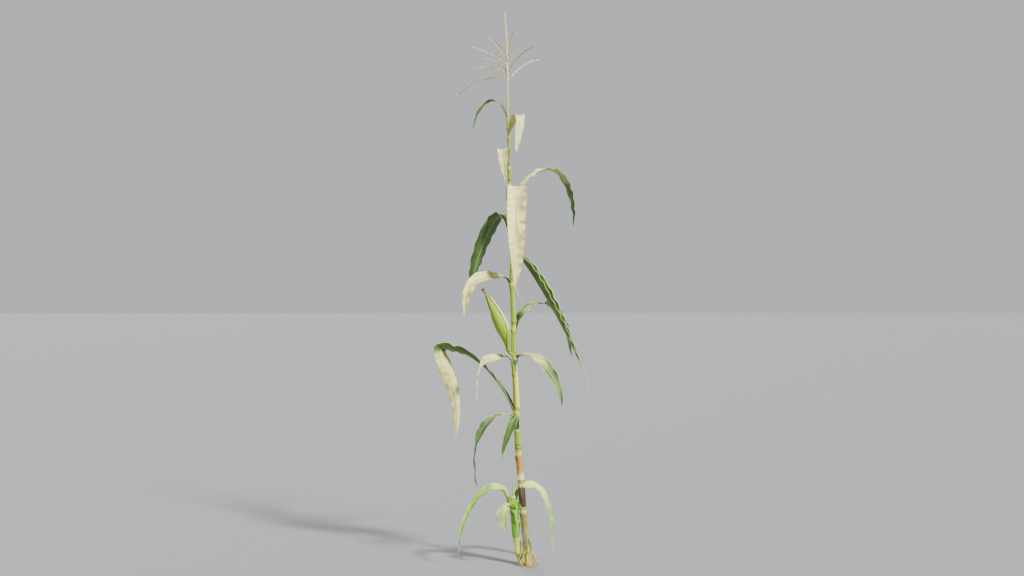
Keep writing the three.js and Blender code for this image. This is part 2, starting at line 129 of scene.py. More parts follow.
print("CAD box in metres:", [[round(side, 3) for side in corner] for corner in cad_box])

# %% [markdown]
# ## Middle lines
#
# Leaves, tassel branches and roots are long and curved. Each could be drawn as a Blender curve with a
# bevel, but a leaf's section changes all the way along it. So a middle line is kept as close points
# that are read by distance, and sections are set across it.

# %% Middle lines, read by distance
CURVE_POINTS = 90


def pulled(start, bend, end):
    """The Bezier curve that leaves start towards bend and reaches end from it."""
    return start, start.lerp(bend, 2 / 3), end.lerp(bend, 2 / 3), end


class Line:
    """A smooth line through close points along one or more Bezier curves."""

    def __init__(self, *curves):
        self.points = []
        for curve in curves:
            points = interpolate_bezier(*curve, CURVE_POINTS)
            self.points += points[1:] if self.points else points
        self.reached = [0.0]
        for before, after in zip(self.points, self.points[1:]):
            self.reached.append(self.reached[-1] + (after - before).length)
        self.length = self.reached[-1]
        ends = [self.points[0], *self.points, self.points[-1]]
        self.ways = [(after - before).normalized() for before, after in zip(ends, ends[2:])]

    def at(self, distance):
        """The place at a distance along the line, and the way the line goes there."""
        after = min(max(bisect_right(self.reached, distance), 1), len(self.reached) - 1)
        span = self.reached[after] - self.reached[after - 1]
        share = min(max((distance - self.reached[after - 1]) / span, 0.0), 1.0)
        place = self.points[after - 1].lerp(self.points[after], share)
        return place, self.ways[after - 1].lerp(self.ways[after], share).normalized()


class Stem:
    """A stem that is straight from joint to joint, with a radius for each height."""

    def __init__(self, knots, radius):
        self.knots = knots
        self.radius = radius

    def middle(self, height):
        above = next((i for i, knot in enumerate(self.knots) if knot.z >= height), len(self.knots) - 1)
        low, high = self.knots[max(above, 1) - 1], self.knots[max(above, 1)]
        return low.lerp(high, (height - low.z) / (high.z - low.z))


print("Each curve of a middle line keeps", CURVE_POINTS, "points")

# %% [markdown]
# ## Sheets and tubes
#
# Two shapes make almost the whole plant. A sheet is a flat grid bent over a surface, and later given
# a wall by the Solidify modifier. A tube is the same grid rolled up, with its seam merged and its ends
# filled. The grid's UV map is written while it is flat, with the share across in x and the metres
# along in y, so that veins and fibres follow the leaf wherever it bends.

# %% Sheets and tubes
SEAM = 0.01
STEEP = 0.9
TRAITS = ("pale", "dry", "margin", "sheath", "tint", "line")


def lay_sheet(bm, across, reach, place, paint=None, material=0):
    """Bends a grid into a sheet. place(u, row) gives the point, for u from -1 to 1 in each row."""
    rows = len(reach) - 1
    for trait in TRAITS:
        if not bm.verts.layers.float.get(trait):
            bm.verts.layers.float.new(trait)
    if not bm.loops.layers.uv.get("UVMap"):
        bm.loops.layers.uv.new("UVMap")
    uv = bm.loops.layers.uv["UVMap"]
    layers = {trait: bm.verts.layers.float[trait] for trait in TRAITS}
    verts = bmesh.ops.create_grid(bm, x_segments=across, y_segments=rows, size=1)["verts"]
    spots = [(vert.co.x, round((vert.co.y + 1) / 2 * rows)) for vert in verts]
    for vert, (u, row) in zip(verts, spots):
        for loop in vert.link_loops:
            loop[uv].uv = ((u + 1) / 2, reach[row] * MILLIMETRE)
        for face in vert.link_faces:
            face.smooth = True
            face.material_index = material
        for trait, value in (paint(u, row) if paint else {}).items():
            vert[layers[trait]] = value
    for vert, (u, row) in zip(verts, spots):
        vert.co = place(u, row)
    return verts


def lay_tube(bm, around, rings, material=0, relief=None, paint=None):
    """Rolls a grid into a closed tube through rings, each with a centre, two ways across and a radius."""
    reach = [0.0]
    for before, after in zip(rings, rings[1:]):
        reach.append(reach[-1] + (after[0] - before[0]).length)

    def place(u, row):
        centre, side, across, radius = rings[row]
        angle = math.pi * u
        size = radius + (relief(angle, row) if relief else 0.0)
        return centre + round_about(side, across, angle) * size

    verts = lay_sheet(bm, around, reach, place, paint, material)
    seam = [vert for vert in verts if vert.is_boundary]
    bmesh.ops.remove_doubles(bm, verts=seam, dist=SEAM)
    verts = [vert for vert in verts if vert.is_valid]
    edges = list(dict.fromkeys(edge for vert in verts for edge in vert.link_edges if edge.is_boundary))
    caps = bmesh.ops.holes_fill(bm, edges=edges, sides=0)["faces"]
    for cap in caps:
        cap.material_index = material
    faces = list(dict.fromkeys(face for vert in verts for face in vert.link_faces))
    bmesh.ops.recalc_face_normals(bm, faces=faces)


def level_ring(centre, radius):
    return centre, RIGHT, BACK, radius


def rings_along(line, steps, radius):
    """Rings across a line, with their sides carried along it so that the tube doesn't twist."""
    rings = []
    side = RIGHT if abs(line.ways[0].z) > STEEP else UP
    for step, distance in enumerate(evenly(line.length, steps)):
        centre, way = line.at(distance)
        side = square_to(way, side)
        rings.append((centre, side, way.cross(side), radius(step / steps)))
    return rings


def mesh_from(name, bm):
    """A mesh with the shape of a bmesh, which is freed."""
    mesh = bpy.data.meshes.new(name)
    bm.to_mesh(mesh)
    bm.free()
    return mesh


def set_out(name, data):
    """Puts a new object with this mesh, lamp or camera in the scene."""
    thing = bpy.data.objects.new(name, data)
    bpy.context.scene.collection.objects.link(thing)
    return thing


def gather(whole, part):
    """Adds a small bmesh to the whole one. Operators are slow on a large one, so each stays small."""
    mesh = mesh_from("part", part)
    whole.from_mesh(mesh)
    bpy.data.meshes.remove(mesh)


def finish_piece(name, bm, finishes, nodes=(), wall=0.0):
    """Makes a piece of the bmesh, in metres, and seats it in the frame."""
    bmesh.ops.scale(bm, vec=Vector((1, 1, 1)) * MILLIMETRE, verts=bm.verts[:])
    mesh = mesh_from(name, bm)
    for finish in finishes:
        mesh.materials.append(finish)
    piece = set_out(name, mesh)
    if wall:
        solid = piece.modifiers.new("Wall", "SOLIDIFY")
        solid.thickness = wall * MILLIMETRE
        solid.offset = 0
        solid.material_offset = 1
    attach(piece, "root")
    if nodes:
        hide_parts(*nodes)
    print(f"{name}: {len(mesh.polygons)} faces")


def sheet_piece(name, sheet, finishes, nodes=(), wall=0.0):
    """Makes a piece of one sheet, given as lay_sheet takes it."""
    bm = bmesh.new()
    lay_sheet(bm, *sheet)
    finish_piece(name, bm, finishes, nodes, wall)


print("Traits painted on every sheet:", ", ".join(TRAITS))

# %% [markdown]
# ## Writing a finish
#
# Every surface of the plant has fibres that run along it, clouds of lighter and darker tissue, and
# edges that dry first. These effects come back on leaves, husk and stem, so each is a node group
# that is built once. A small helper adds nodes and links them, so that a finish reads as a few sums.

# %% A helper that joins shader nodes
BUMP_STRENGTH = 0.6


def shade(code):
    """The linear colour of a hexadecimal one, such as 0x9fa83f."""
    parts = [((code >> shift) & 255) / 255 for shift in (16, 8, 0)]
    return (*[part / 12.92 if part <= 0.04045 else ((part + 0.055) / 1.055) ** 2.4 for part in parts], 1)


class Recipe:
    """Adds nodes to a tree and feeds them with values or with other nodes' sockets."""

    def __init__(self, tree):
        self.tree = tree

    def add(self, kind, feeds=None, **settings):
        node = self.tree.nodes.new(kind)
        for name, value in settings.items():
            setattr(node, name, value)
        for key, value in (feeds or {}).items():
            self.feed(node.inputs[key], value)
        return node

    def feed(self, socket, value):
        """Links another socket, or sets a value. A colour may be a hexadecimal number."""
        if isinstance(value, bpy.types.NodeSocket):
            self.tree.links.new(value, socket)
        else:
            socket.default_value = shade(value) if socket.type == "RGBA" else value

    def sum(self, operation, *values):
        return self.add("ShaderNodeMath", dict(enumerate(values)), operation=operation).outputs[0]

    def times(self, first, second):
        return self.sum("MULTIPLY", first, second)

    def times_plus(self, first, second, third):
        return self.sum("MULTIPLY_ADD", first, second, third)

    def blend(self, share, first, second):
        node = self.add("ShaderNodeMix", {0: share, 6: first, 7: second}, data_type="RGBA")
        return node.outputs[2]

    def coated(self, skin, *coats):
        """Lays coats over a skin one by one, each a share and a colour."""
        for share, colour in coats:
            skin = self.blend(share, skin, colour)
        return skin

    def span(self, value, low, high, least=0.0, most=1.0):
        """Turns low to high into least to most, smoothly, and holds the ends."""
        feeds = {0: value, 1: low, 2: high, 3: least, 4: most}
        return self.add("ShaderNodeMapRange", feeds, interpolation_type="SMOOTHSTEP").outputs[0]

    def clouds(self, vector, scale, detail=3.0):
        feeds = {"Vector": vector, "Scale": scale, "Detail": detail}
        return self.add("ShaderNodeTexNoise", feeds).outputs[0]

    def trait(self, name):
        return self.add("ShaderNodeAttribute", attribute_name=name).outputs[2]

    def vector(self, x, y, z=0.0):
        return self.add("ShaderNodeCombineXYZ", {0: x, 1: y, 2: z}).outputs[0]

    def place(self):
        return self.add("ShaderNodeTexCoord").outputs["Object"]

    def grown(self):
        """The share across the piece and the metres along it, from its UV map."""
        uv = self.add("ShaderNodeUVMap", uv_map="UVMap").outputs[0]
        parts = self.add("ShaderNodeSeparateXYZ", {0: uv})
        return parts.outputs[0], parts.outputs[1]


def new_group(name, inputs, outputs):
    """An empty shader group, with its recipe and its two ends."""
    tree = bpy.data.node_groups.new(name, "ShaderNodeTree")
    for label, kind, value in inputs:
        tree.interface.new_socket(label, in_out="INPUT", socket_type=kind).default_value = value
    for label in outputs:
        tree.interface.new_socket(label, in_out="OUTPUT", socket_type="NodeSocketFloat")
    recipe = Recipe(tree)
    return recipe, recipe.add("NodeGroupInput").outputs, recipe.add("NodeGroupOutput").inputs


def place_group(recipe, tree, **feeds):
    """Places a group and gives its outputs. A feed's name is the socket's, in small letters."""
    node = recipe.add("ShaderNodeGroup", node_tree=tree)
    for name, value in feeds.items():
        recipe.feed(node.inputs[name.capitalize()], value)
    return node.outputs


def new_finish(name, **sockets):
    """An empty material, with its recipe and its shader. The sockets are plain values."""
    material = bpy.data.materials.new(name)
    material.use_nodes = True
    recipe = Recipe(material.node_tree)
    shader = material.node_tree.nodes["Principled BSDF"]
    for socket, value in sockets.items():
        shader.inputs[socket.replace("_", " ")].default_value = value
    return material, recipe, shader.inputs


def cover(recipe, shader, skin, height, depth):
    """Feeds the shader its colour, and a normal from a height whose full range is depth millimetres."""
    feeds = {"Strength": BUMP_STRENGTH, "Distance": depth * MILLIMETRE, "Height": height}
    recipe.feed(shader["Base Color"], skin)
    recipe.feed(shader["Normal"], recipe.add("ShaderNodeBump", feeds).outputs[0])


print("The shader helper is ready")

# %% [markdown]
# ## Veins
#
# A grass leaf has no net of veins. They run side by side from the collar to the tip, and close up as
# the blade narrows. Because x in the UV map is the share across, a sine of x gives exactly that. A
# stretched noise pushes the veins a little closer together or apart, and another gives soft streaks.

# %% The veins group
recipe, given, put = new_group(
    "Long veins",
    [("Across", "NodeSocketFloat", 0.5), ("Along", "NodeSocketFloat", 0.0),
     ("Count", "NodeSocketFloat", 24.0)],
    ["Ridge", "Streak"],
)
bands = recipe.times(given["Across"], recipe.times(given["Count"], 0.6))
wander = recipe.clouds(recipe.vector(bands, recipe.times(given["Along"], 9.0), 7.0), 0.8, 2.0)
turns = recipe.times_plus(given["Across"], given["Count"], recipe.times(wander, 1.5))
ridge = recipe.times_plus(recipe.sum("SINE", recipe.times(turns, 2 * math.pi)), 0.5, 0.5)
streaks = recipe.clouds(recipe.vector(bands, recipe.times(given["Along"], 5.0)), 1.0, 4.0)
recipe.feed(put["Ridge"], ridge)
recipe.feed(put["Streak"], recipe.span(streaks, 0.3, 0.7))
VEINS = recipe.tree


def long_veins(recipe, count):
    """Veins along a piece, with so many across it."""
    across, along = recipe.grown()
    return place_group(recipe, VEINS, across=across, along=along, count=count)


print("Built", VEINS.name)

# %% [markdown]
# ## Mottle and dry edges
#
# Tissue is never one even green: it has broad clouds and small flecks. It dries from the margins and
# the tip inwards, and that front is broken, so the distance from the margin is upset by noise before
# it is cut to a mask.

# %% The mottle and dry edge groups
recipe, given, put = new_group(
    "Mottle",
    [("Place", "NodeSocketVector", (0, 0, 0)), ("Scale", "NodeSocketFloat", 20.0)],
    ["Cloud", "Fleck"],
)
recipe.feed(put["Cloud"], recipe.span(recipe.clouds(given["Place"], given["Scale"]), 0.3, 0.7))
small = recipe.times(given["Scale"], 14.0)
recipe.feed(put["Fleck"], recipe.span(recipe.clouds(given["Place"], small, 2.0), 0.6, 0.72))
MOTTLE = recipe.tree

recipe, given, put = new_group(
    "Dry edge",
    [("Place", "NodeSocketVector", (0, 0, 0)), ("Across", "NodeSocketFloat", 0.5),
     ("Margin", "NodeSocketFloat", 0.0), ("Dry", "NodeSocketFloat", 0.0)],
    ["Mask", "Edge"],
)
off_middle = recipe.sum("ABSOLUTE", recipe.sum("SUBTRACT", given["Across"], 0.5))
inward = recipe.times_plus(off_middle, -2.0, 1.0)
broken = recipe.clouds(given["Place"], 95.0, 4.0)
ragged = recipe.times_plus(broken, 0.16, -0.06)
reach = recipe.sum("ADD", recipe.times(given["Margin"], 0.2), ragged)
front = recipe.sum("SUBTRACT", reach, inward)
edge = recipe.times(recipe.span(front, -0.03, 0.05), recipe.span(given["Margin"], 0.0, 0.25))
patch = recipe.times_plus(broken, 0.9, recipe.times_plus(given["Dry"], 1.2, -0.85))
recipe.feed(put["Mask"], recipe.sum("MAXIMUM", edge, recipe.span(patch, 0.0, 0.35)))
recipe.feed(put["Edge"], recipe.span(inward, 0.0, 0.09, 1.0, 0.0))
DRY_EDGE = recipe.tree


def mottled(recipe, scale):
    """Clouds and flecks of a size that fits the piece."""
    return place_group(recipe, MOTTLE, place=recipe.place(), scale=scale)


def dry_edge(recipe):
    """The dried part of a sheet, after the traits that are painted on it."""
    margin, dry = recipe.trait("margin"), recipe.trait("dry")
    across = recipe.grown()[0]
    return place_group(recipe, DRY_EDGE, place=recipe.place(), across=across, margin=margin, dry=dry)


print("Built", MOTTLE.name, "and", DRY_EDGE.name)

# %% [markdown]
# ## Leaf finishes
#
# The upper face of an old maize leaf is waxy and bleached by the sun, nearly cream along the crest of
# its arch, and that cream also stands for the sun's glare there as a painted highlight. Its underside is
# rougher and less vivid. So each leaf has two materials from one function, and takes how pale and how
# dry it is from values painted on its mesh, which change slowly.

# %% The leaf finishes
LEAF_ROUGHNESS = 0.44
DRY_ROUGHNESS = 0.8
AGED = 0xb0a856
STAINED = 0x8f8650
WAXY_AND_SHADE = 0x2c4c28
OLD_RIB = 0xb0a56c
WHITE_RIB = 0xf3f2d2
HIGHLIGHT_GOLD = 0xf2dc3c
PALE_EDGE = 0xdfe0a0
COLLAR = 0xc9c66a
DRY_LIGHT = 0xb58a4a
DRY_DARK = 0x74502a
SPECK = 0x6f5a30


def leaf_finish(name, deep, fresh, bleached, pale_vein, rib, sheath, sheath_light, roughness=LEAF_ROUGHNESS):
    """A leaf's face. The traits painted on the mesh say how pale, dry, stained and wrapped it is."""
    material, recipe, shader = new_finish(name)
    across, along = recipe.grown()
    place = recipe.place()
    pale, tint, line = recipe.trait("pale"), recipe.trait("tint"), recipe.trait("line")
    veins, fine = long_veins(recipe, 22.0), long_veins(recipe, 64.0)
    mottle, dried = mottled(recipe, 16.0), dry_edge(recipe)
    streak, cloud = veins["Streak"], mottle["Cloud"]

    # The tint coat is a waxy blue-green, and at full tint on the lowest leaves it is also painted shade.
    green = recipe.coated(
        recipe.blend(cloud, deep, fresh),
        (recipe.times(streak, 0.3), pale_vein), (recipe.times(tint, 0.7), WAXY_AND_SHADE),
    )
    # Where pale is high this cream is partly sun bleaching and partly a painted highlight of the sun's glare
    # on the crests.
    aged_and_sunlit = recipe.blend(recipe.span(pale, 0.45, 1.0), pale_vein, AGED)
    stain = recipe.times(tint, recipe.span(recipe.clouds(place, 34.0), 0.38, 0.56))
    cream = recipe.coated(
        aged_and_sunlit, (recipe.times_plus(streak, 0.65, 0.3), bleached), (recipe.times(stain, 0.8), STAINED),
    )
    upset = recipe.times_plus(recipe.sum("ADD", streak, cloud), 0.2, -0.2)
    faded = recipe.span(recipe.sum("ADD", pale, upset), 0.1, 0.85)

    off_middle = recipe.sum("ABSOLUTE", recipe.sum("SUBTRACT", across, 0.5))
    on_rib = recipe.span(recipe.times_plus(line, -0.06, off_middle), 0.014, 0.045, 1.0, 0.0)
    rib_tone = recipe.coated(rib, (faded, OLD_RIB), (line, WHITE_RIB))
    # On a sheath the line trait lays a yellow stripe down its middle, a painted highlight of the sun on the
    # sheath.
    wrapped = recipe.coated(
        recipe.blend(streak, sheath, sheath_light), (recipe.times(cloud, 0.3), fresh), (line, HIGHLIGHT_GOLD),
    )
    skin = recipe.coated(
        green,
        (faded, cream),
        (recipe.times(on_rib, recipe.times_plus(tint, -0.5, 0.8)), rib_tone),
        (recipe.times(dried["Edge"], 0.7), PALE_EDGE),
        (recipe.trait("sheath"), wrapped),
        (recipe.span(recipe.sum("ABSOLUTE", along), 0.002, 0.009, 0.8, 0.0), COLLAR),
        (dried["Mask"], recipe.blend(fine["Streak"], DRY_LIGHT, DRY_DARK)),
        (recipe.times(mottle["Fleck"], 0.3), SPECK),
    )

    rough = recipe.times_plus(cloud, 0.12, roughness - 0.06)
    rough = recipe.sum("MAXIMUM", rough, recipe.times(dried["Mask"], DRY_ROUGHNESS))
    recipe.feed(shader["Roughness"], rough)
    height = recipe.times_plus(veins["Ridge"], 0.6, recipe.times(fine["Ridge"], 0.2))
    height = recipe.times_plus(recipe.clouds(place, 120.0), 0.7, height)
    cover(recipe, shader, skin, height, 0.7)
    return material


LEAF = (
    leaf_finish(
        "Leaf, upper face", deep=0x0f4202, fresh=0x3a8602, bleached=0xf3f098, pale_vein=0x98aa34,
        rib=0xc2c85c, sheath=0x648e06, sheath_light=0xb8c214,
    ),
    leaf_finish(
        "Leaf, underside", deep=0x234a20, fresh=0x47732a, bleached=0xece890, pale_vein=0x869a48,
        rib=0xa4b050, sheath=0x64860c, sheath_light=0xa8b420, roughness=0.6,
    ),
)
YOUNG_LEAF = (
    leaf_finish(
        "Young leaf, upper face", deep=0x2c7402, fresh=0x62ae04, bleached=0xf0ee84, pale_vein=0xa2cc20,
        rib=0xc8da50, sheath=0x4e9c04, sheath_light=0x9ccc18,
    ),
    leaf_finish(
        "Young leaf, underside", deep=0x3c7c14, fresh=0x6aa422, bleached=0xe4e27c, pale_vein=0x8cb42c,
        rib=0xaec64a, sheath=0x4e940a, sheath_light=0x8cba2a, roughness=0.6,
    ),
)
print("Leaf finishes:", [material.name for material in LEAF + YOUNG_LEAF])

# %% [markdown]
# ## How a leaf grows
#
# A leaf's section is an arc that closes round the stem in the sheath and opens to a shallow gutter in
# the blade. The middle line leaves the collar upwards, passes a crest and falls to the tip. The
# margins grow longer than the midrib, so they ruffle. All this follows from two numbers, the distance
# from the collar, which is negative in the sheath, and the share across. A few leaves have only a
# short clasp in place of a sheath, and sit with it on the sheath of another leaf.

# %% Leaf measures shared by every leaf
SHEATH_WALL = 0.9
SHEATH_GAP = 1.0
SHEATH_WRAP = 3.3
SHEATH_OVERLAP = 0.7
SHEATH_FOOT = 7
CAD_SHEATH_SLACK = 0.45
CAD_SHEATH_THICKNESS = 2.4
CAD_SHEATH_FACET = math.cos(2.3 / 6)
SHEATH_SWELLING = 1.2
SHEATH_SWELLING_REACH = 7
CLEARANCE = 0.3
COLLAR_WRAP = 1.1
COLLAR_FLARE = 1.22
COLLAR_HEIGHT = 34
FUNNEL_HEIGHT = 70
FUNNEL_SHIFT = 0.6
CLASP_WRAP = 0.75
CLASP_FOOT_WRAP = 1.5
CLASP_HEIGHT = 62
CLASP_LAYER = 1.6
BLADE_OPENING = 90
BLADE_OPENING_MOST = 0.8
BLADE_TIP_POWER = 0.85
TAIL_POINT = 0.06
BLADE_TURNED_BY = 0.4
FOLD_REACH = 26
RIB_HALF_WIDTH = 1.9
RIB_DEPTH = 1.1
LEAF_WALL = 0.7
LEAF_ACROSS = 26
PAST_CREST = 0.08
TWIST_START, TWIST_LENGTH = 160, 110
CURL_SHARE, CURL_PACE = 0.2, 34
HOOK_SHARE = 0.1
RUFFLE_START, RUFFLE_POWER = 120, 2.6
MARGINS_APART = 0.14
SWELL, SWELL_LENGTH = 1.6, 60
TIP_START = 0.72
SHEATH_STEP = 7
BLADE_STEP = 4.5

USUAL_BLADE = dict(
    open=0.35, steep=0.45, arch=0.3, nose=0.2, hang=0.35, belly=(0, 0, 0), cup=0.3, turn=(0, 0),
    fold=0, clasp=0, joint=None, tail=0.04, tail_half=0.9, taper=1.9, vee=0.14, wave=0.085, ruffle=54,
    twist=7, curl=6, hook=0, funnel=0, widest=0.38, foot_share=0.66, notches=(),
    pale=(0.2, 0.3, 0.3, 0.2, 0.1), dry=(0.0, 0.35), margin=(0.0, 0.0), tint=(0.2, 0.2),
    gold=0, green_collar=0, white_rib=0,
)


def blade_outline(share, leaf):
    """The share of the greatest width at a share of the way from the collar to the tip."""
    spread = share / (1 - leaf.tail)
    if spread < leaf.widest:
        return mix(leaf.foot_share, 1, ease(spread / leaf.widest))
    past = min((spread - leaf.widest) / (1 - leaf.widest), 1)
    return (1 - past**leaf.taper) ** BLADE_TIP_POWER


def seat_leaf(stem, seed, **leaf):
    """Finds where a leaf leaves its stem, and its middle line from there to its tip."""
    leaf = SimpleNamespace(**(USUAL_BLADE | leaf), stem=stem, seed=seed)
    crest, tip, belly = Vector(leaf.crest), Vector(leaf.tip), Vector(leaf.belly)
    middle = stem.middle(leaf.collar)
    leaf.out = level(crest - middle)
    leaf.side = UP.cross(leaf.out)
    layer = leaf.clasp + CLEARANCE if leaf.clasp else 0
    wrapped = (stem.radius(leaf.collar) + CAD_SHEATH_SLACK + layer) / CAD_SHEATH_FACET
    leaf.roll = (wrapped + CAD_SHEATH_THICKNESS / 2) * (1 if leaf.clasp else COLLAR_FLARE)
    start = middle + leaf.out * leaf.roll
    rise_span = (crest - start).length
    fall_span = (tip - crest).length
    over = level(crest - start)
    lift = (UP + leaf.out * leaf.open).normalized()
    rise = (start, start + lift * rise_span * leaf.steep, crest - over * rise_span * leaf.arch, crest)
    fall = (crest, crest + over * fall_span * leaf.nose, tip + UP * fall_span * leaf.hang + belly, tip)
    leaf.line = Line(rise, fall)
    leaf.crest_at = leaf.line.reached[CURVE_POINTS - 1]
    leaf.total = leaf.line.length
    leaf.foot = -CLASP_HEIGHT if leaf.clasp else leaf.joint + SHEATH_FOOT - leaf.collar
    return leaf


print("A blade has", LEAF_ACROSS, "faces across, and a row of them every", BLADE_STEP, "mm")

# %% The sections of a leaf
def sheath_section(leaf, distance):
    """The section of a sheath or clasp, where the distance from the collar is negative."""
    height = leaf.collar + distance
    opening = ease(1 + distance / min(COLLAR_HEIGHT, -leaf.foot))
    tight = leaf.stem.radius(height) + SHEATH_GAP
    if leaf.clasp:
        tight += CLASP_LAYER
    else:
        tight += SHEATH_SWELLING * hump(height - leaf.joint - SHEATH_FOOT, SHEATH_SWELLING_REACH)
    way = (UP + leaf.out * leaf.open * opening).normalized()
    roll = mix(tight, leaf.roll, opening)
    first, last = (CLASP_FOOT_WRAP, CLASP_WRAP) if leaf.clasp else (SHEATH_WRAP, COLLAR_WRAP)
    wrap = mix(first, last, opening)
    flare = leaf.funnel * ease(1 + distance / FUNNEL_HEIGHT)
    return SimpleNamespace(
        centre=leaf.stem.middle(height) + leaf.out * (roll + FUNNEL_SHIFT * flare), side=leaf.side,
        normal=way.cross(leaf.side), half=(roll + flare) * wrap, wrap=wrap, vee=0.0, blade=0.0,
        spiral=SHEATH_OVERLAP * (1 - opening),
    )


def blade_section(leaf, distance):
    """The section of a blade, which turns and twists, and may curl and hook at its tip."""
    centre, way = leaf.line.at(distance)
    way = (way - UP * leaf.fold * hump(distance - leaf.crest_at, FOLD_REACH)).normalized()
    past = (distance - leaf.crest_at) / (leaf.total - leaf.crest_at)
    turn = leaf.turn[0] * ease(distance / leaf.crest_at)
    if past > 0:
        turn = mix(leaf.turn[0], leaf.turn[1], ease(past / BLADE_TURNED_BY))
    turn += leaf.twist * ease(distance / TWIST_START) * drift(distance / TWIST_LENGTH, leaf.seed * 3.7)
    side = square_to(way, leaf.side)
    side.rotate(Quaternion(way, math.radians(turn)))
    share = distance / leaf.total
    opened = ease(distance / min(BLADE_OPENING, BLADE_OPENING_MOST * leaf.total))
    foot_wrap = CLASP_WRAP if leaf.clasp else COLLAR_WRAP
    foot_half = (leaf.roll + leaf.funnel) * foot_wrap
    pointed = min((1 - share) / TAIL_POINT + 0.12, 1)
    tail = leaf.tail_half * (1 - 0.5 * ease(share)) * pointed
    full = max(leaf.width / 2 * blade_outline(share, leaf), tail)
    normal = way.cross(side)
    tip = ease((share - 1 + max(leaf.tail, CURL_SHARE)) / CURL_SHARE)
    hooked = side * leaf.hook * hump(share - 1 + leaf.tail, HOOK_SHARE)
    centre = centre + normal * leaf.curl * tip * math.sin(share * CURL_PACE + leaf.seed)
    centre = centre + hooked * (1 - ease((share - 0.9) / HOOK_SHARE))
    centre = centre + leaf.out * FUNNEL_SHIFT * leaf.funnel * (1 - opened)
    return SimpleNamespace(
        centre=centre, side=side, normal=normal, half=mix(foot_half, full, opened),
        wrap=mix(foot_wrap, leaf.cup, opened), vee=leaf.vee * opened * (1 - 0.5 * tip), blade=opened,
        spiral=0.0,
    )


def leaf_point(leaf, section, distance, share):
    """The point of a leaf's surface at a distance from its collar and a share across it."""
    hand = 1 if share > 0 else -1
    half = section.half
    for on, at, depth, length in leaf.notches:
        if on == hand:
            half *= 1 - depth * hump(distance - at, length)
    roll = section.half / section.wrap
    bend = share * half / roll
    size = roll + section.spiral * share
    lateral = section.side * math.cos(section.vee)
    lift = roll - size * math.cos(bend) + abs(share) * half * math.sin(section.vee)
    point = section.centre + lateral * size * math.sin(bend) + section.normal * lift
    if section.blade:
        grown = ease(distance / RUFFLE_START) * (1 - ease((distance / leaf.total - TIP_START) / 0.28))
        length = leaf.ruffle * (1 + MARGINS_APART * hand)
        phase = distance / length * 2 * math.pi + 2.2 * drift(distance / 130, leaf.seed, hand)
        height = leaf.wave * leaf.width * grown * (0.55 + 0.9 * drift(distance / 75, hand, leaf.seed * 1.9))
        ruffle = math.sin(phase + hand * 1.3 + leaf.seed) * abs(share) ** RUFFLE_POWER * height
        rib = RIB_DEPTH * hump(share * half, RIB_HALF_WIDTH) * (1 - 0.7 * distance / leaf.total)
        swell = SWELL * drift(distance / SWELL_LENGTH, share * 1.5, leaf.seed) * grown
        point += section.normal * (ruffle - rib * section.blade + swell)
    return point


def leaf_traits(leaf, distance, share):
    """How pale, dry and tinted the leaf is there, and whether it is sheath or blade."""
    along = max(distance, 0) / leaf.total
    crest = leaf.crest_at / leaf.total
    stops = [0, crest, crest + PAST_CREST * (1 - crest), (crest + 1) / 2, 1]
    after = min(max(bisect_right(stops, along), 1), len(stops) - 1)
    step = ease((along - stops[after - 1]) / (stops[after] - stops[after - 1]))
    pale = mix(leaf.pale[after - 1], leaf.pale[after], step)
    pale += 0.12 * drift(distance / 45, share * 2, leaf.seed)
    dry = leaf.dry[0] + leaf.dry[1] * ease((along - TIP_START) / 0.28)
    margin = leaf.margin[0] if share > 0 else leaf.margin[1]
    margin *= 0.6 + 0.8 * abs(drift(distance / 38, share, leaf.seed + 5))
    tint = mix(leaf.tint[1], leaf.tint[0], ease((share + 0.6) / 1.2))
    # Down a sheath's middle the line is a painted highlight; along a blade it is the white midrib.
    line = leaf.gold * hump(share, 0.3) if distance < 0 else leaf.white_rib * ease((along - 0.2) / 0.5)
    sheath = ease((-distance - leaf.green_collar) / 8)
    return dict(pale=pale, dry=dry, margin=margin, sheath=sheath, tint=tint, line=line)


def leaf_piece(leaf, finishes):
    """One leaf, from the foot of its sheath to the tip of its blade."""
    sheath_rows = math.ceil(-leaf.foot / SHEATH_STEP)
    blade_rows = math.ceil(leaf.total / BLADE_STEP)
    reach = [leaf.foot * (1 - step / sheath_rows) for step in range(sheath_rows)]
    reach += evenly(leaf.total, blade_rows)
    sections = [(sheath_section if distance < 0 else blade_section)(leaf, distance) for distance in reach]
    sheet = (
        LEAF_ACROSS, reach,
        lambda u, row: leaf_point(leaf, sections[row], reach[row], -u),
        lambda u, row: leaf_traits(leaf, reach[row], -u),
    )
    parts = ("rise", "fall") if leaf.clasp else ("sheath", "rise", "fall")
    nodes = [f"{leaf.name}_{part}" for part in parts]
    sheet_piece(f"{leaf.name}_whole", sheet, finishes, nodes, LEAF_WALL)


print("A sheath has a row of faces every", SHEATH_STEP, "mm")

# %% [markdown]
# ## The stalk's line and the leaves on it
#
# The stalk leans to the left and bows over most in its lowest half metre, with a small turn at every
# joint. The leaves are listed from the foot up, each with its joint and collar, its crest and its tip,
# and with how sun and age have marked it. pale holds five values, at the collar, the crest, just past
# it, halfway down the fall and at the tip; where it is high it is sun bleaching and also a painted
# highlight of the sun's glare. margin and tint hold one for each side of the midrib, and a full tint
# is painted shade as well as a waxy blue-green. A stripe down a sheath's middle is a painted
# highlight. green_collar says how far down its sheath the blade's green reaches, and a negative one
# carries the sheath's colour on into the blade.

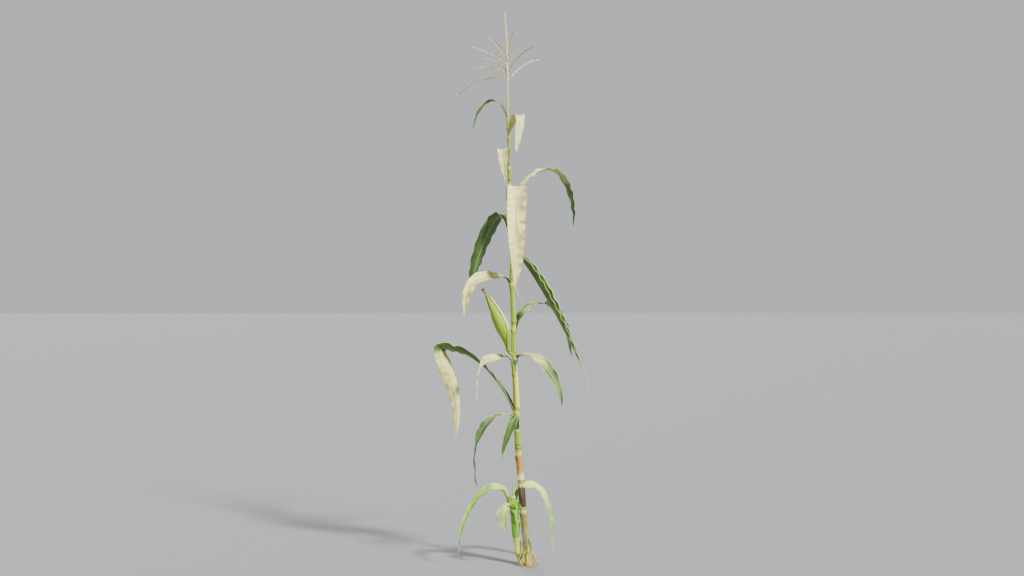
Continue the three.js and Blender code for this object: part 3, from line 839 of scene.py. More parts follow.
# %% The stalk's middle line
STALK_TOP = 2000
STALK_FOOT_RADIUS = 14.5
STALK_TOP_RADIUS = 3
STALK_LEAN = 0.024
STALK_BOW = 41
JOINT_TURN = 1.2
JOINTS = [60, 130, 235, 346, 477, 645, 872, 998, 1180, 1290, 1385, 1460, 1590, 1700, 1800]
PLANT_HEIGHT = 2300


def stalk_radius(height):
    return mix(STALK_TOP_RADIUS, STALK_FOOT_RADIUS, max(1 - height / STALK_TOP, 0) ** 0.8)


def stalk_knot(height, index):
    x = -STALK_LEAN * height - STALK_BOW * math.tanh(height / 500)
    turn = -JOINT_TURN if index % 2 else JOINT_TURN
    return Vector((x + turn if height > 0 else 0, 14 * math.sin(math.pi * height / PLANT_HEIGHT), height))


stalk = Stem([stalk_knot(height, i) for i, height in enumerate([0, *JOINTS, STALK_TOP])], stalk_radius)
print("Stalk leans", [round(side) for side in stalk.middle(STALK_TOP)], "mm at its top")

# %% The leaves of the main stalk
STALK_LEAVES = [
    # leaf_01 and leaf_02 take the full tint, which paints the shade they lie in as well as their waxy
    # blue-green.
    dict(name="leaf_01", clasp=2, collar=560, width=38, crest=(-58, -60, 616), tip=(-112, -72, 442),
         turn=(0, -35), pale=(0.05, 0.12, 0.05, 0.0, 0.1), dry=(0.0, 0.4), tint=(1, 1)),
    dict(name="leaf_02", clasp=2.4, collar=606, width=40, crest=(-96, -20, 626), tip=(-211, -80, 333),
         turn=(-12, -40), nose=0.4, hang=0.5, belly=(-35, 0, 0), pale=(0.5, 0.8, 0.3, 0.0, 0.12),
         tint=(1, 1), tail=0.41, tail_half=6.6, widest=0.54, taper=2.4),
    dict(name="leaf_03", joint=477, collar=636, width=76, crest=(-366, 92, 896), tip=(-323, 110, 486),
         turn=(30, 75), steep=0.25, arch=0.4, nose=0.06, belly=(75, 0, 0), fold=0.9, wave=0.05,
         pale=(0.1, 0.1, 0.95, 1.15, 0.55), dry=(0.08, 0.2), margin=(0.12, 0.3), tint=(0.5, 0.5),
         notches=((1, 372, 0.3, 9), (-1, 520, 0.14, 7))),
    # leaf_04's green_collar paints the top of its sheath in the blade's deep green, partly its own colour and
    # partly painted shade at the ear joint.
    dict(name="leaf_04", joint=645, collar=856, width=54, crest=(-14, -14, 870), tip=(136, -86, 650),
         turn=(10, 35), nose=0.34, pale=(0.05, 0.8, 0.9, 0.15, 0.0), tint=(0.6, 0.3), taper=1.4, vee=0.3,
         gold=1, green_collar=52),
    dict(name="leaf_05", clasp=1.7, collar=846, width=38, crest=(-150, -8, 859), tip=(-214, -42, 692),
         turn=(-55, -80), nose=0.4, pale=(0.0, 1.1, 1.1, 1.0, 0.9), dry=(0.1, 0.3), tail=0.46,
         tail_half=3.2, taper=3.2, tint=(0.5, 0.5)),
    dict(name="leaf_06", joint=872, collar=985, width=60, crest=(62, 150, 1085), tip=(190, 300, 830),
         nose=0.3, pale=(0.1, 0.3, 0.3, 0.2, 0.1)),
    dict(name="leaf_07", joint=998, collar=1166, width=52, crest=(-166, -44, 1198), tip=(-262, -112, 1018),
         turn=(-46, -42), nose=0.5, pale=(0.3, 0.7, 0.8, 0.8, 0.6), tint=(0.7, 0.4), margin=(0.1, 0.2)),
    dict(name="leaf_08", joint=1180, collar=1236, width=60, cup=0.7, crest=(-30, -22, 1262),
         tip=(243, -170, 736), nose=0.05, hang=0.12, vee=1.1, wave=0.1, tail=0.12, tail_half=1.5,
         taper=1.05, pale=(0.1, 0.05, 0.0, 0.1, 0.7), dry=(0.02, 0.3), tint=(0.1, 0.1), white_rib=0.9),
    dict(name="leaf_09", joint=1290, collar=1376, width=74, crest=(-112, 72, 1458), tip=(-248, 150, 1096),
         nose=0.18, pale=(0.05, 0.1, 0.05, 0.0, 0.1), tint=(0.6, 0.5)),
    dict(name="leaf_10", joint=1385, collar=1450, width=82, cup=0.15, crest=(-50, -116, 1564),
         tip=(-30, -142, 1092), nose=0.05, hang=0.3, belly=(-34, 0, 0), fold=0.5, tail=0.09,
         tail_half=2.4, vee=0.05, taper=2.3, twist=2.5, ruffle=30, wave=0.036, hook=-13, curl=3,
         pale=(0.5, 0.8, 0.95, 1.05, 0.9), margin=(0.35, 0.0), tint=(1.0, 0.0),
         notches=((1, 330, 0.07, 5), (1, 395, 0.1, 6))),
    dict(name="leaf_11", joint=1460, collar=1500, width=62, crest=(84, 108, 1648), tip=(200, 250, 1390),
         nose=0.3, steep=0.3, pale=(0.2, 0.75, 0.6, 0.2, 0.1), margin=(0.1, 0.1)),
    dict(name="leaf_12", joint=1590, collar=1650, width=46, crest=(-106, -78, 1716), tip=(-98, -92, 1580),
         nose=0.12, pale=(0.4, 0.85, 1.0, 1.0, 0.6)),
    dict(name="leaf_13", joint=1700, collar=1776, width=44, crest=(-40, -78, 1856), tip=(-52, -100, 1690),
         nose=0.12, pale=(0.5, 0.95, 1.0, 1.0, 0.6)),
    dict(name="leaf_14", joint=1800, collar=1856, width=36, crest=(-150, 34, 1930), tip=(-232, 62, 1800),
         nose=0.3, pale=(0.1, 0.3, 0.3, 0.15, 0.1), tint=(0.3, 0.3)),
]
for seed, leaf in enumerate(STALK_LEAVES, 1):
    leaf_piece(seat_leaf(stalk, seed, **leaf), LEAF)

# %% [markdown]
# ## The stalk
#
# Under the sheaths the stalk is a smooth, finely ribbed cane. Each joint is a raised ring with a darker
# line, a waxy pale band hangs under it, and a shallow groove runs up the side that a bud lies in. A
# tube through level rings gives this shape, with more rings near each joint, and the foot flares where
# the lowest roots leave it.

# %% The stalk's finish
def stem_finish(name, green, light, ring, tan, bloom):
    material, recipe, shader = new_finish(name, Roughness=0.5)
    ribs, mottle = long_veins(recipe, 26.0), mottled(recipe, 22.0)
    skin = recipe.coated(
        recipe.blend(ribs["Streak"], green, light),
        (recipe.times(recipe.trait("dry"), mottle["Cloud"]), tan),
        (recipe.times(recipe.trait("pale"), 0.6), bloom),
        (recipe.trait("tint"), ring),
        (recipe.times(mottle["Fleck"], 0.5), tan),
    )
    height = recipe.times_plus(recipe.clouds(recipe.place(), 160.0), 0.6, ribs["Ridge"])
    cover(recipe, shader, skin, height, 0.5)
    return material


STALK = stem_finish("Stalk skin", 0x6e9806, 0xcccc16, 0x4c3812, 0xa8742a, 0xd2d27c)
TILLER = stem_finish("Tiller skin", 0x6fa004, 0xd6d428, 0x50401a, 0x5e4520, 0xe0dc6c)
print("Stem finishes:", STALK.name, TILLER.name)

# %% The stalk
JOINT_SWELLING, JOINT_REACH = 0.14, 4.5
JOINT_DIP = 0.03
JOINT_RINGS = (-16, -9, -6, -4, -2.5, -1, 0, 1, 2.5, 4, 6, 9, 16)
RING_STEP = 24.0
GROOVE_DEPTH, GROOVE_HALF_ANGLE = 0.07, 0.45
ROOT_FLARE_RADIUS = 19
ROOT_FLARE_HEIGHT = 14
STALK_AROUND = 28
STALK_FADING = 170


def stem_heights(joints, top):
    """Heights of rings, close together near every joint and apart between them."""
    near = {joint + offset for joint in joints for offset in JOINT_RINGS}
    between = {step * RING_STEP for step in range(int(top // RING_STEP) + 1)}
    apart = {height for height in between if all(abs(height - joint) > 20 for joint in joints)}
    return sorted({0.0, 4.0, 8.0, float(top)} | {height for height in near | apart if 0 < height < top})


def lay_stem(bm, stem, joints, top, flare, fading=1):
    """A stem with a ring at every joint, a groove on the side where its bud lies, and a fading top."""
    heights = stem_heights(joints, top)
    rings = []
    for height in heights:
        swelling = sum(JOINT_SWELLING * hump(height - joint, JOINT_REACH) for joint in joints)
        dip = sum(JOINT_DIP * hump(height - joint - 8, 3) for joint in joints)
        foot = (flare - 1) * (1 - ease(height / ROOT_FLARE_HEIGHT))
        rings.append(level_ring(stem.middle(height), stem.radius(height) * (1 + swelling - dip + foot)))

    def groove(angle, row):
        above = sum(1 for joint in joints if joint < heights[row])
        facing = 0.0 if above % 2 else math.pi
        off = math.remainder(angle - facing, 2 * math.pi)
        nearness = min((abs(heights[row] - joint) for joint in joints), default=99)
        return -GROOVE_DEPTH * stem.radius(heights[row]) * hump(off, GROOVE_HALF_ANGLE) * ease(nearness / 18)

    def paint(u, row):
        height = heights[row]
        ring = max((hump(height - joint - 1, 2.2) for joint in joints), default=0)
        bloom = max((hump(height - joint + 12, 8) for joint in joints), default=0)
        low = 1 - ease((height - 60) / 420)
        faded = 1.5 * ease((height - top + fading) / fading)
        return dict(pale=max(bloom, faded), dry=0.15 + 0.75 * low, tint=0.8 * ring)

    lay_tube(bm, STALK_AROUND, rings, relief=groove, paint=paint)


bm = bmesh.new()
lay_stem(bm, stalk, JOINTS, STALK_TOP, ROOT_FLARE_RADIUS / stalk_radius(0), STALK_FADING)
finish_piece("stalk_cane", bm, [STALK], ["stalk"])

# %% [markdown]
# ## Prop roots
#
# Stout roots spring from the lowest joint and stand in the ground like stays. Each is a tapering tube
# along a bent line that runs on below the ground. Cutting the whole ring of roots with one level plane
# gives each a flat foot that stands on the ground.

# %% The prop roots
def root_finish(name, dark, light, green, streak):
    material, recipe, shader = new_finish(name, Roughness=0.75)
    place = recipe.place()
    ribs, mottle = long_veins(recipe, 7.0), mottled(recipe, 60.0)
    high = recipe.add("ShaderNodeSeparateXYZ", {0: place}).outputs[2]
    skin = recipe.coated(
        recipe.blend(mottle["Cloud"], dark, light),
        (recipe.span(high, 0.02, 0.06), green),
        (recipe.times(ribs["Streak"], 0.4), streak),
    )
    cover(recipe, shader, skin, recipe.clouds(place, 300.0), 0.5)
    return material


ROOT = root_finish("Prop root skin", 0x8a6b45, 0xb59a63, 0x9da04b, 0x6a5034)
ROOT_COUNT = 8
ROOT_REACH = 46
ROOT_RADIUS, ROOT_TAPER = 3.4, 0.78
ROOT_DEPTH = 15
ROOT_AROUND, ROOT_ROWS = 10, 20
FIRST_ROOT_FACING, ROOT_TURN = -165, 38
bm = bmesh.new()
spring = stalk.middle(JOINTS[0])
for index in range(ROOT_COUNT):
    wander = index * 2.3
    out = heading(FIRST_ROOT_FACING + ROOT_TURN * index + 26 * drift(wander, 3))
    stride = ROOT_REACH * (1 + 0.5 * drift(wander, 7))
    thick = ROOT_RADIUS * (1 + 0.5 * drift(wander, 11))
    bend = spring + out * stride * 0.75
    root = Line(pulled(spring + out * stalk_radius(0) / 2, bend, out * stride - UP * ROOT_DEPTH))
    rings = rings_along(root, ROOT_ROWS, lambda share: thick * mix(1, ROOT_TAPER, share))
    lay_tube(bm, ROOT_AROUND, rings, relief=lambda angle, row: 0.3 * drift(row / 3, angle, wander))
everything = bm.verts[:] + bm.edges[:] + bm.faces[:]
cut = bmesh.ops.bisect_plane(bm, geom=everything, plane_co=(0, 0, 0), plane_no=UP, clear_inner=True)
feet = [item for item in cut["geom_cut"] if isinstance(item, bmesh.types.BMEdge)]
bmesh.ops.holes_fill(bm, edges=feet, sides=0)
finish_piece("prop_roots", bm, [ROOT], ["stalk"])

# %% [markdown]
# ## Dry sheaths
#
# The lowest leaves have lost their blades. Their sheaths stay as papery tubes, olive, brown or tan,
# wrinkled along their length and torn at the top, and thin strips peel away from the lowest. They are
# sheets again, rolled shut but for a little at the top, with the torn edge made by letting each column
# end at its own height. The brown one is torn at its foot too, where its columns start higher the
# further they are from the front.

# %% The dry sheath finish
PAPER = 0xe2d3a4
MOULD = 0x3f2a18


def dry_sheath_finish(name, dark, light, bright):
    material, recipe, shader = new_finish(name, Roughness=0.78)
    fibres, coarse, mottle = long_veins(recipe, 34.0), long_veins(recipe, 9.0), mottled(recipe, 40.0)
    skin = recipe.coated(
        recipe.blend(coarse["Streak"], dark, light),
        (recipe.times(fibres["Streak"], 0.45), bright),
        (recipe.times(recipe.trait("pale"), mottle["Cloud"]), PAPER),
        (recipe.times(mottle["Fleck"], 0.6), MOULD),
    )
    height = recipe.times_plus(recipe.clouds(recipe.place(), 90.0), 1.3, fibres["Ridge"])
    cover(recipe, shader, skin, height, 0.55)
    return material


SHEATH_TAN = dry_sheath_finish("Dry sheath, tan", 0x7c4a0a, 0xb07a18, 0xd0a848)
SHEATH_OLIVE = dry_sheath_finish("Dry sheath, olive", 0x524e0c, 0x7e7620, 0xaca454)
SHEATH_PALE = dry_sheath_finish("Dry sheath, pale", 0x54541e, 0x7c7a3a, 0xb0aa6a)
SHEATH_BROWN = dry_sheath_finish("Dry sheath, brown", 0x160c00, 0x321e02, 0x583804)
print("Dry sheath finishes:", SHEATH_TAN.name, SHEATH_OLIVE.name, SHEATH_PALE.name, SHEATH_BROWN.name)

# %% The dry sheaths
DRY_SHEATHS = [
    dict(name="sheath_1", joint=130, top=222, facing=40, finish=SHEATH_OLIVE, pale=(0.15, 130)),
    dict(name="sheath_2", joint=235, top=330, facing=-130, finish=SHEATH_BROWN, pale=(0.1, 320),
         slant=52),
    dict(name="sheath_3", joint=346, top=462, facing=20, finish=SHEATH_TAN, pale=(1.6, 356)),
]
DRY_SHEATH_STEP = 4
DRY_SHEATH_ACROSS = 44
DRY_SHEATH_WRAP = (1.04, 0.86)
OFF_STALK = 0.5
BLEACHED_REACH = 24
SLANT_LOWEST = -65


def dry_sheath(name, joint, top, facing, finish, pale, slant=0):
    """A sheath without its blade, wrapped round the stalk and torn along its top.

    pale is how bleached it is and at what height. slant is how much higher its foot is at the back.
    """
    foot = joint + SHEATH_FOOT
    steps = math.ceil((top - foot) / DRY_SHEATH_STEP)
    reach = evenly(top - foot, steps)

    def place(u, row):
        tear = 1 - 0.12 * (0.5 + drift(u * 4.2, facing)) - 0.06 * abs(u) ** 3
        height = foot + reach[row] * mix(1, tear, ease(row / steps))
        from_lowest = math.radians(facing - SLANT_LOWEST) + math.pi * u
        height += slant * (0.5 - 0.5 * math.cos(from_lowest)) * (1 - row / steps)
        open_top = ease((row / steps - 0.72) / 0.28)
        crinkle = 0.6 * drift(u * 9, height / 50, facing) + 0.8 * open_top * drift(u * 3, row / 6, 4)
        swell = 1.4 * hump(height - foot, 6)
        size = stalk_radius(height) + SHEATH_GAP + 0.7 * u + crinkle + swell + 2.2 * open_top * abs(u)
        angle = math.radians(facing) + math.pi * u * mix(*DRY_SHEATH_WRAP, open_top)
        away = round_about(RIGHT, BACK, angle)
        return stalk.middle(height) + away * max(size, stalk_radius(height) + OFF_STALK)

    def paint(u, row):
        most, at = pale
        return dict(pale=most * hump(foot + reach[row] - at, BLEACHED_REACH) * (1 + drift(u * 2, row / 5)))

    sheet = (DRY_SHEATH_ACROSS, reach, place, paint)
    sheet_piece(f"{name}_paper", sheet, [finish], [name], SHEATH_WALL)


for sheath in DRY_SHEATHS:
    dry_sheath(**sheath)

# %% The strips that peel away from the lowest sheath
PEEL_STRIPS = [
    dict(facing=-28, low=48, high=166, width=14, out=4),
    dict(facing=-74, low=60, high=158, width=12, out=3),
    dict(facing=22, low=42, high=150, width=12, out=5),
    dict(facing=-118, low=72, high=152, width=11, out=5),
    dict(facing=88, low=52, high=150, width=13, out=4),
    dict(facing=150, low=70, high=156, width=10, out=6),
    dict(facing=-52, low=84, high=172, width=8, out=6),
    dict(facing=-96, low=94, high=164, width=7, out=7),
]
PEEL_ROWS = 24
STRIP_ACROSS = 8
STRIP_WALL = 0.6
STRIP_GAP = 2.2


def peel_place(strip, number):
    """The points of one strip, held at its top and standing away more and more below."""
    facing = heading(strip["facing"])
    sideways = UP.cross(facing)

    def place(u, row):
        share = row / PEEL_ROWS
        height = mix(strip["high"], strip["low"], share)
        away = stalk_radius(height) * 1.05 + STRIP_GAP + strip["out"] * share**3
        curl = 5 * math.sin(share * 4 + number * 1.7) * share**1.5
        ends = min(share, 1 - share) / 0.12
        half = strip["width"] / 2 * (1 - 0.45 * share) * (1 + 0.25 * drift(row / 3, number, u))
        half *= mix(0.25, 1, ease(ends))
        twist = 1.3 * math.sin(number * 2.1) * share**2
        hug = -u * u * half * 0.45 * (1 - share)
        across = round_about(sideways, facing, twist)
        return stalk.middle(height) + facing * (away + hug) + sideways * curl + across * u * half

    return place


bm = bmesh.new()
for number, strip in enumerate(PEEL_STRIPS):
    reach = evenly(strip["high"] - strip["low"], PEEL_ROWS)
    lay_sheet(bm, STRIP_ACROSS, reach, peel_place(strip, number), lambda u, row: dict(pale=0.12))
finish_piece("sheath_peelings", bm, [SHEATH_PALE], wall=STRIP_WALL)

# %% [markdown]
# ## The tiller
#
# A tiller is a side shoot from the same root, greener and softer than the old stalk. It has the same
# parts, so it is made by the same functions. Its stem is spotted most at the foot, and its leaves are a
# fresher green that the sun has bleached from their crests on, where the pale also paints the sun's
# glare as a highlight.

# %% The tiller's stem and leaves
TILLER_HEIGHT = 285
TILLER_JOINTS = [40, 120, 200]
TILLER_FLARE = 1.1
TILLER_RADII = (10.5, 6.5)
TILLER_TOP = Vector((-62, 16, TILLER_HEIGHT))
TILLER_SEED = 31


def tiller_radius(height):
    return mix(*TILLER_RADII, height / TILLER_HEIGHT)


tiller_foot = heading(162) * (ROOT_FLARE_RADIUS + CLEARANCE + tiller_radius(0) * TILLER_FLARE)
tiller = Stem([tiller_foot, Vector((-43, 13.4, 40)), TILLER_TOP], tiller_radius)
bm = bmesh.new()
lay_stem(bm, tiller, TILLER_JOINTS, TILLER_HEIGHT, TILLER_FLARE)
finish_piece("tiller_cane", bm, [TILLER], ["tiller_stem"])

TILLER_LEAVES = [
    dict(name="tiller_leaf_1", joint=120, collar=192, width=49, crest=(-138, -6, 322), tip=(-290, -60, 40),
         turn=(-30, -42), steep=0.55, nose=0.22, hang=0.5, widest=0.22, foot_share=0.95, taper=0.9,
         pale=(0.0, 0.55, 0.25, 0.1, 0.3), tint=(0, 0), funnel=7, cup=0.75, gold=0.4),
    dict(name="tiller_leaf_2", joint=200, collar=272, width=42, crest=(-2, 74, 322), tip=(102, 84, 24),
         turn=(40, 75), nose=0.35, hang=0.5, taper=1.4, pale=(0.0, 0.6, 0.7, 0.3, 0.5), tint=(0.3, 0),
         funnel=3),
    dict(name="tiller_leaf_3", joint=40, collar=108, width=38, crest=(-92, -50, 248), tip=(-98, -66, 122),
         turn=(-42, -20), steep=0.6, pale=(0.0, 0.3, 0.4, 0.45, 0.6), dry=(0.0, 0.5),
         tint=(0.5, 0.5), funnel=4, gold=0.9, green_collar=-110),
]
for seed, leaf in enumerate(TILLER_LEAVES, TILLER_SEED):
    leaf_piece(seat_leaf(tiller, seed, **leaf), YOUNG_LEAF)

# %% [markdown]
# ## The open sheath and the rolled leaves
#
# One young leaf has lost its blade. Its sheath stands open round the others like a funnel, with a dark
# hollow behind its front rim, and lowest at the right where a leaf comes out. The youngest leaves are
# one sheet rolled nearly twice round, narrower towards its point.

# %% The open sheath
OPEN_SHEATH_ACROSS, OPEN_SHEATH_ROWS = 52, 32
OPEN_SHEATH_FOOT = 172
OPEN_SHEATH_TOP = 288
OPEN_SHEATH_GAP = 1.6
OPEN_SHEATH_FLARE = 19
OPEN_SHEATH_SHIFT = 3
OPEN_SHEATH_OFF_STALK = 3
OPEN_SHEATH_LOW_SIDE = 30
OPEN_SHEATH_HALF_TURN = 190
OPEN_SHEATH_DIP = 0.26


def open_sheath_point(u, row):
    """A point of the funnel, which widens towards a rim that is lowest on one side."""
    share = row / OPEN_SHEATH_ROWS
    facing = OPEN_SHEATH_LOW_SIDE + 180 + OPEN_SHEATH_HALF_TURN * u
    low_side = 0.5 + 0.5 * math.cos(math.radians(facing - OPEN_SHEATH_LOW_SIDE))
    rim = 1 - OPEN_SHEATH_DIP * low_side - 0.04 * drift(u * 5, 3) * share
    height = mix(OPEN_SHEATH_FOOT, OPEN_SHEATH_TOP, share * rim)
    flare = ((height - OPEN_SHEATH_FOOT) / (OPEN_SHEATH_TOP - OPEN_SHEATH_FOOT)) ** 1.2
    size = tiller_radius(height) + OPEN_SHEATH_GAP + OPEN_SHEATH_FLARE * flare + 0.5 * u
    size += 1.4 * flare * drift(u * 3, height / 40, 2)
    point = tiller.middle(height) + heading(facing) * size - Vector((OPEN_SHEATH_SHIFT * flare, 0, 0))
    off_stalk = point - stalk.middle(height)
    least = stalk_radius(height) + OPEN_SHEATH_OFF_STALK
    return stalk.middle(height) + off_stalk * max(1, least / off_stalk.length)


def open_sheath_traits(u, row):
    return dict(pale=0.1, sheath=1 - 0.3 * row / OPEN_SHEATH_ROWS)


open_reach = evenly(OPEN_SHEATH_TOP - OPEN_SHEATH_FOOT, OPEN_SHEATH_ROWS)
open_sheet = (OPEN_SHEATH_ACROSS, open_reach, open_sheath_point, open_sheath_traits)
sheet_piece("tiller_open_sheath", open_sheet, YOUNG_LEAF, wall=LEAF_WALL)

# %% The rolled spindle
SPINDLE_ACROSS, SPINDLE_ROWS = 48, 24
SPINDLE_SUNK = 6
SPINDLE_RADII = (5.9, 1.4)
SPINDLE_WALL = 0.5
SPINDLE_HEIGHT = 62
SPINDLE_LEAN = 6
SPINDLE_TURNS = 1.7


def spindle_point(u, row):
    """A point of the sheet that is rolled round itself and ends in a slant at its top."""
    share = row / SPINDLE_ROWS
    roll = SPINDLE_TURNS * math.pi * u
    tip = 1 - 0.45 * abs(u)
    height = SPINDLE_HEIGHT * share * mix(1, tip, share)
    size = mix(*SPINDLE_RADII, share) - 0.55 * (u + 1)
    lifted = Vector((-SPINDLE_LEAN * share, 0, height + SPINDLE_SUNK * share))
    return TILLER_TOP - UP * SPINDLE_SUNK + lifted + round_about(RIGHT, BACK, roll) * max(size, 0.7)


spindle_reach = evenly(SPINDLE_HEIGHT, SPINDLE_ROWS)
rolled = (SPINDLE_ACROSS, spindle_reach, spindle_point, lambda u, row: dict(pale=0.2, margin=0.2))
sheet_piece("tiller_roll", rolled, YOUNG_LEAF, ["tiller_spindle"], SPINDLE_WALL)

# %% The ribbon torn from the tiller's lowest leaf
RIBBON_HALF = 7.5
RIBBON_SIDE = Vector((0, 1, 0.25))
RIBBON_ACROSS, RIBBON_ROWS = 8, 60
ribbon_arch = [Vector(place) for place in ((-54, 4, 232), (-60, -30, 262), (-72, -50, 268), (-94, -55, 258))]
ribbon_fall = [Vector(place) for place in ((-116, -60, 248), (-156, -62, 214), (-110, -64, 172))]
ribbon_line = Line(ribbon_arch, (ribbon_arch[-1], *ribbon_fall))
ribbon_reach = evenly(ribbon_line.length, RIBBON_ROWS)


def ribbon_point(u, row):
    """A point of the ribbon, which turns over as it falls."""
    centre, way = ribbon_line.at(ribbon_reach[row])
    share = row / RIBBON_ROWS
    side = square_to(way, RIBBON_SIDE)
    side.rotate(Quaternion(way, 0.5 + 2.4 * share))
    half = RIBBON_HALF * (1 - 0.6 * share) * mix(0.6, 1, ease(share / 0.2))
    return centre + side * u * half + way.cross(side) * u * u * 1.6


ribbon = (RIBBON_ACROSS, ribbon_reach, ribbon_point, lambda u, row: dict(pale=0.75, dry=0.1, margin=0.1))
sheet_piece("tiller_ribbon", ribbon, YOUNG_LEAF, wall=LEAF_WALL)

# %% [markdown]
# ## The ear
#
# The ear is wrapped in husk leaves that overlap like the sheets of a scroll, and their long veins run
# together at its beak. A closed inner body keeps the shape full, and each husk leaf is a sheet laid
# round it at its own depth, so that real edges catch the light. The outermost has dried to a narrow
# cream strip. Dry silk hangs from the beak, and a short ringed shank joins the ear to the stalk.

# %% The husk's finish
def husk_finish(name, green, light, cream, bleached, dried):
    material, recipe, shader = new_finish(name, Roughness=0.55)
    veins, fine = long_veins(recipe, 13.0), long_veins(recipe, 40.0)
    mottle, edge = mottled(recipe, 24.0), dry_edge(recipe)
    skin = recipe.coated(
        recipe.blend(veins["Streak"], green, light),
        (recipe.times(fine["Streak"], 0.25), cream),
        (recipe.times(recipe.trait("pale"), mottle["Cloud"]), cream),
        (recipe.span(recipe.trait("pale"), 0.7, 1.6), bleached),
        (edge["Mask"], dried),
    )
    height = recipe.times_plus(fine["Ridge"], 0.3, veins["Ridge"])
    cover(recipe, shader, skin, height, 0.8)
    return material


HUSK = husk_finish("Husk", 0x507e00, 0x8cb008, 0xc8cc38, 0xecdc92, 0x9a5626)
print("Husk finish:", HUSK.name)

# %% The ear's body and husk leaves
EAR_FOOT = Vector((-85, -27, 892))
EAR_LINE = Line(pulled(EAR_FOOT, Vector((-86, -52, 976)), Vector((-184, -66, 1140))))
EAR_RADIUS = 29
EAR_FULLEST = 0.42
EAR_FOOT_SHARE = 0.29
EAR_TAPER = 0.86
CORE_AROUND, CORE_ROWS = 32, 50
CORE_DEPTH = 3.5
HUSK_LEAVES = 7
HUSK_ACROSS, HUSK_ROWS = 22, 54
HUSK_LAYERS = (0.6, -2.6)
HUSK_HALF_ANGLE, HUSK_NARROWED = 1.35, 0.82
HUSK_RIB_TURNS, HUSK_RIB_HEIGHT = 13, 0.5
HUSK_WALL = 0.7
HUSK_SEED = 41
HUSK_TURN = (-12, 12)
CUT_SHORT, CUT_TO = 4, (0.86, 1.0)
OLD_HUSK = 0
OLD_HUSK_FACING = -32
GOLDEN_ANGLE = 137.5


def husk_radius(share):
    """The ear's radius at a share of its length."""
    if share < EAR_FULLEST:
        return EAR_RADIUS * mix(EAR_FOOT_SHARE, 1, ease(share / EAR_FULLEST))
    past = (share - EAR_FULLEST) / (1 - EAR_FULLEST)
    return EAR_RADIUS * (1 - EAR_TAPER * past**1.5)


bm = bmesh.new()
core_rings = rings_along(EAR_LINE, CORE_ROWS, lambda share: max(husk_radius(share) - CORE_DEPTH, 1))
lay_tube(bm, CORE_AROUND, core_rings)
finish_piece("ear_core", bm, [HUSK], ["ear_husk"])
husk_rings = rings_along(EAR_LINE, HUSK_ROWS, husk_radius)


def husk_leaf(bm, index):
    """One husk leaf, laid round the ear from its foot and pointed at its free end."""
    random = numbers_from(HUSK_SEED + index * 7)
    facing = index * GOLDEN_ANGLE + pick(HUSK_TURN, random)
    old = index == OLD_HUSK
    if old:
        facing = OLD_HUSK_FACING
    reach_to = pick(CUT_TO, random) if index < CUT_SHORT else 1.0
    layer = mix(*HUSK_LAYERS, index / (HUSK_LEAVES - 1))
    reach = [distance * reach_to for distance in evenly(EAR_LINE.length, HUSK_ROWS)]

    def place(u, row):
        grown = row / HUSK_ROWS
        share = grown * reach_to
        spot = min(share * HUSK_ROWS, HUSK_ROWS - 0.001)
        low = int(spot)
        centre = husk_rings[low][0].lerp(husk_rings[low + 1][0], spot - low)
        narrowed = ease(grown / 0.5) if old else ease((grown - 0.35) / 0.65)
        spread = HUSK_HALF_ANGLE * (1 - HUSK_NARROWED * narrowed)
        angle = math.radians(facing) + spread * u
        rib = HUSK_RIB_HEIGHT * math.cos(u * HUSK_RIB_TURNS * math.pi) * (1 - abs(u))
        lift = 1.0 * u * (1 if index % 2 else -1) + 0.9 * ease((grown - 0.88) / 0.12)
        size = husk_radius(share) + layer + rib + lift
        return centre + round_about(husk_rings[low][1], husk_rings[low][2], angle) * max(size, 2.0)

    def paint(u, row):
        far = ease((row / HUSK_ROWS - 0.75) / 0.25)
        if old:
            dried = ease((row / HUSK_ROWS - 0.2) / 0.3)
            return dict(pale=1.6 * dried, dry=0.25 * dried, margin=0.5 * dried)
        return dict(pale=0.1 + 0.4 * far, dry=0.2 * far, margin=0.3 * far)

    lay_sheet(bm, HUSK_ACROSS, reach, place, paint)


bm = bmesh.new()
for index in range(HUSK_LEAVES):
    husk_leaf(bm, index)
finish_piece("ear_husk_leaves", bm, [HUSK], ["ear_husk"], HUSK_WALL)

# %% The silk
def clouded_finish(name, dark, light, scale, detail, roughness):
    """Two tones in clouds, for pieces too fine to show more."""
    material, recipe, shader = new_finish(name, Roughness=roughness)
    tone = recipe.clouds(recipe.place(), scale, detail)
    recipe.feed(shader["Base Color"], recipe.blend(recipe.span(tone, 0.35, 0.65), dark, light))
    return material


SILK = clouded_finish("Dry silk", 0x5a3019, 0xa86f3e, 180.0, 3.0, 0.7)
SILK_THREADS = 110
SILK_RADIUS = 0.42
SILK_AROUND, SILK_ROWS = 4, 6
SILK_SUNK = 8
SILK_FOOT, SILK_LENGTH, SILK_SPREAD, SILK_DROOP = (0, 3.6), (14, 30), (0, 6.5), (4, 14)
SILK_BEND, SILK_BEND_SPREAD = (12, 24), (0, 4)
SILK_SEED = 97
random = numbers_from(SILK_SEED)
ear_tip, ear_way = EAR_LINE.at(EAR_LINE.length)
bm = bmesh.new()
for _ in range(SILK_THREADS):
    turn = heading(360 * random())
    across = square_to(ear_way, turn)
    start = ear_tip - ear_way * SILK_SUNK + across * pick(SILK_FOOT, random)
    end = start + ear_way * pick(SILK_LENGTH, random) + across * pick(SILK_SPREAD, random)
    end -= UP * pick(SILK_DROOP, random)
    bend = start + ear_way * pick(SILK_BEND, random) + across * pick(SILK_BEND_SPREAD, random)
    hair = bmesh.new()
    line = Line(pulled(start, bend, end))
    lay_tube(hair, SILK_AROUND, rings_along(line, SILK_ROWS, lambda share: SILK_RADIUS * (1 - 0.4 * share)))
    gather(bm, hair)
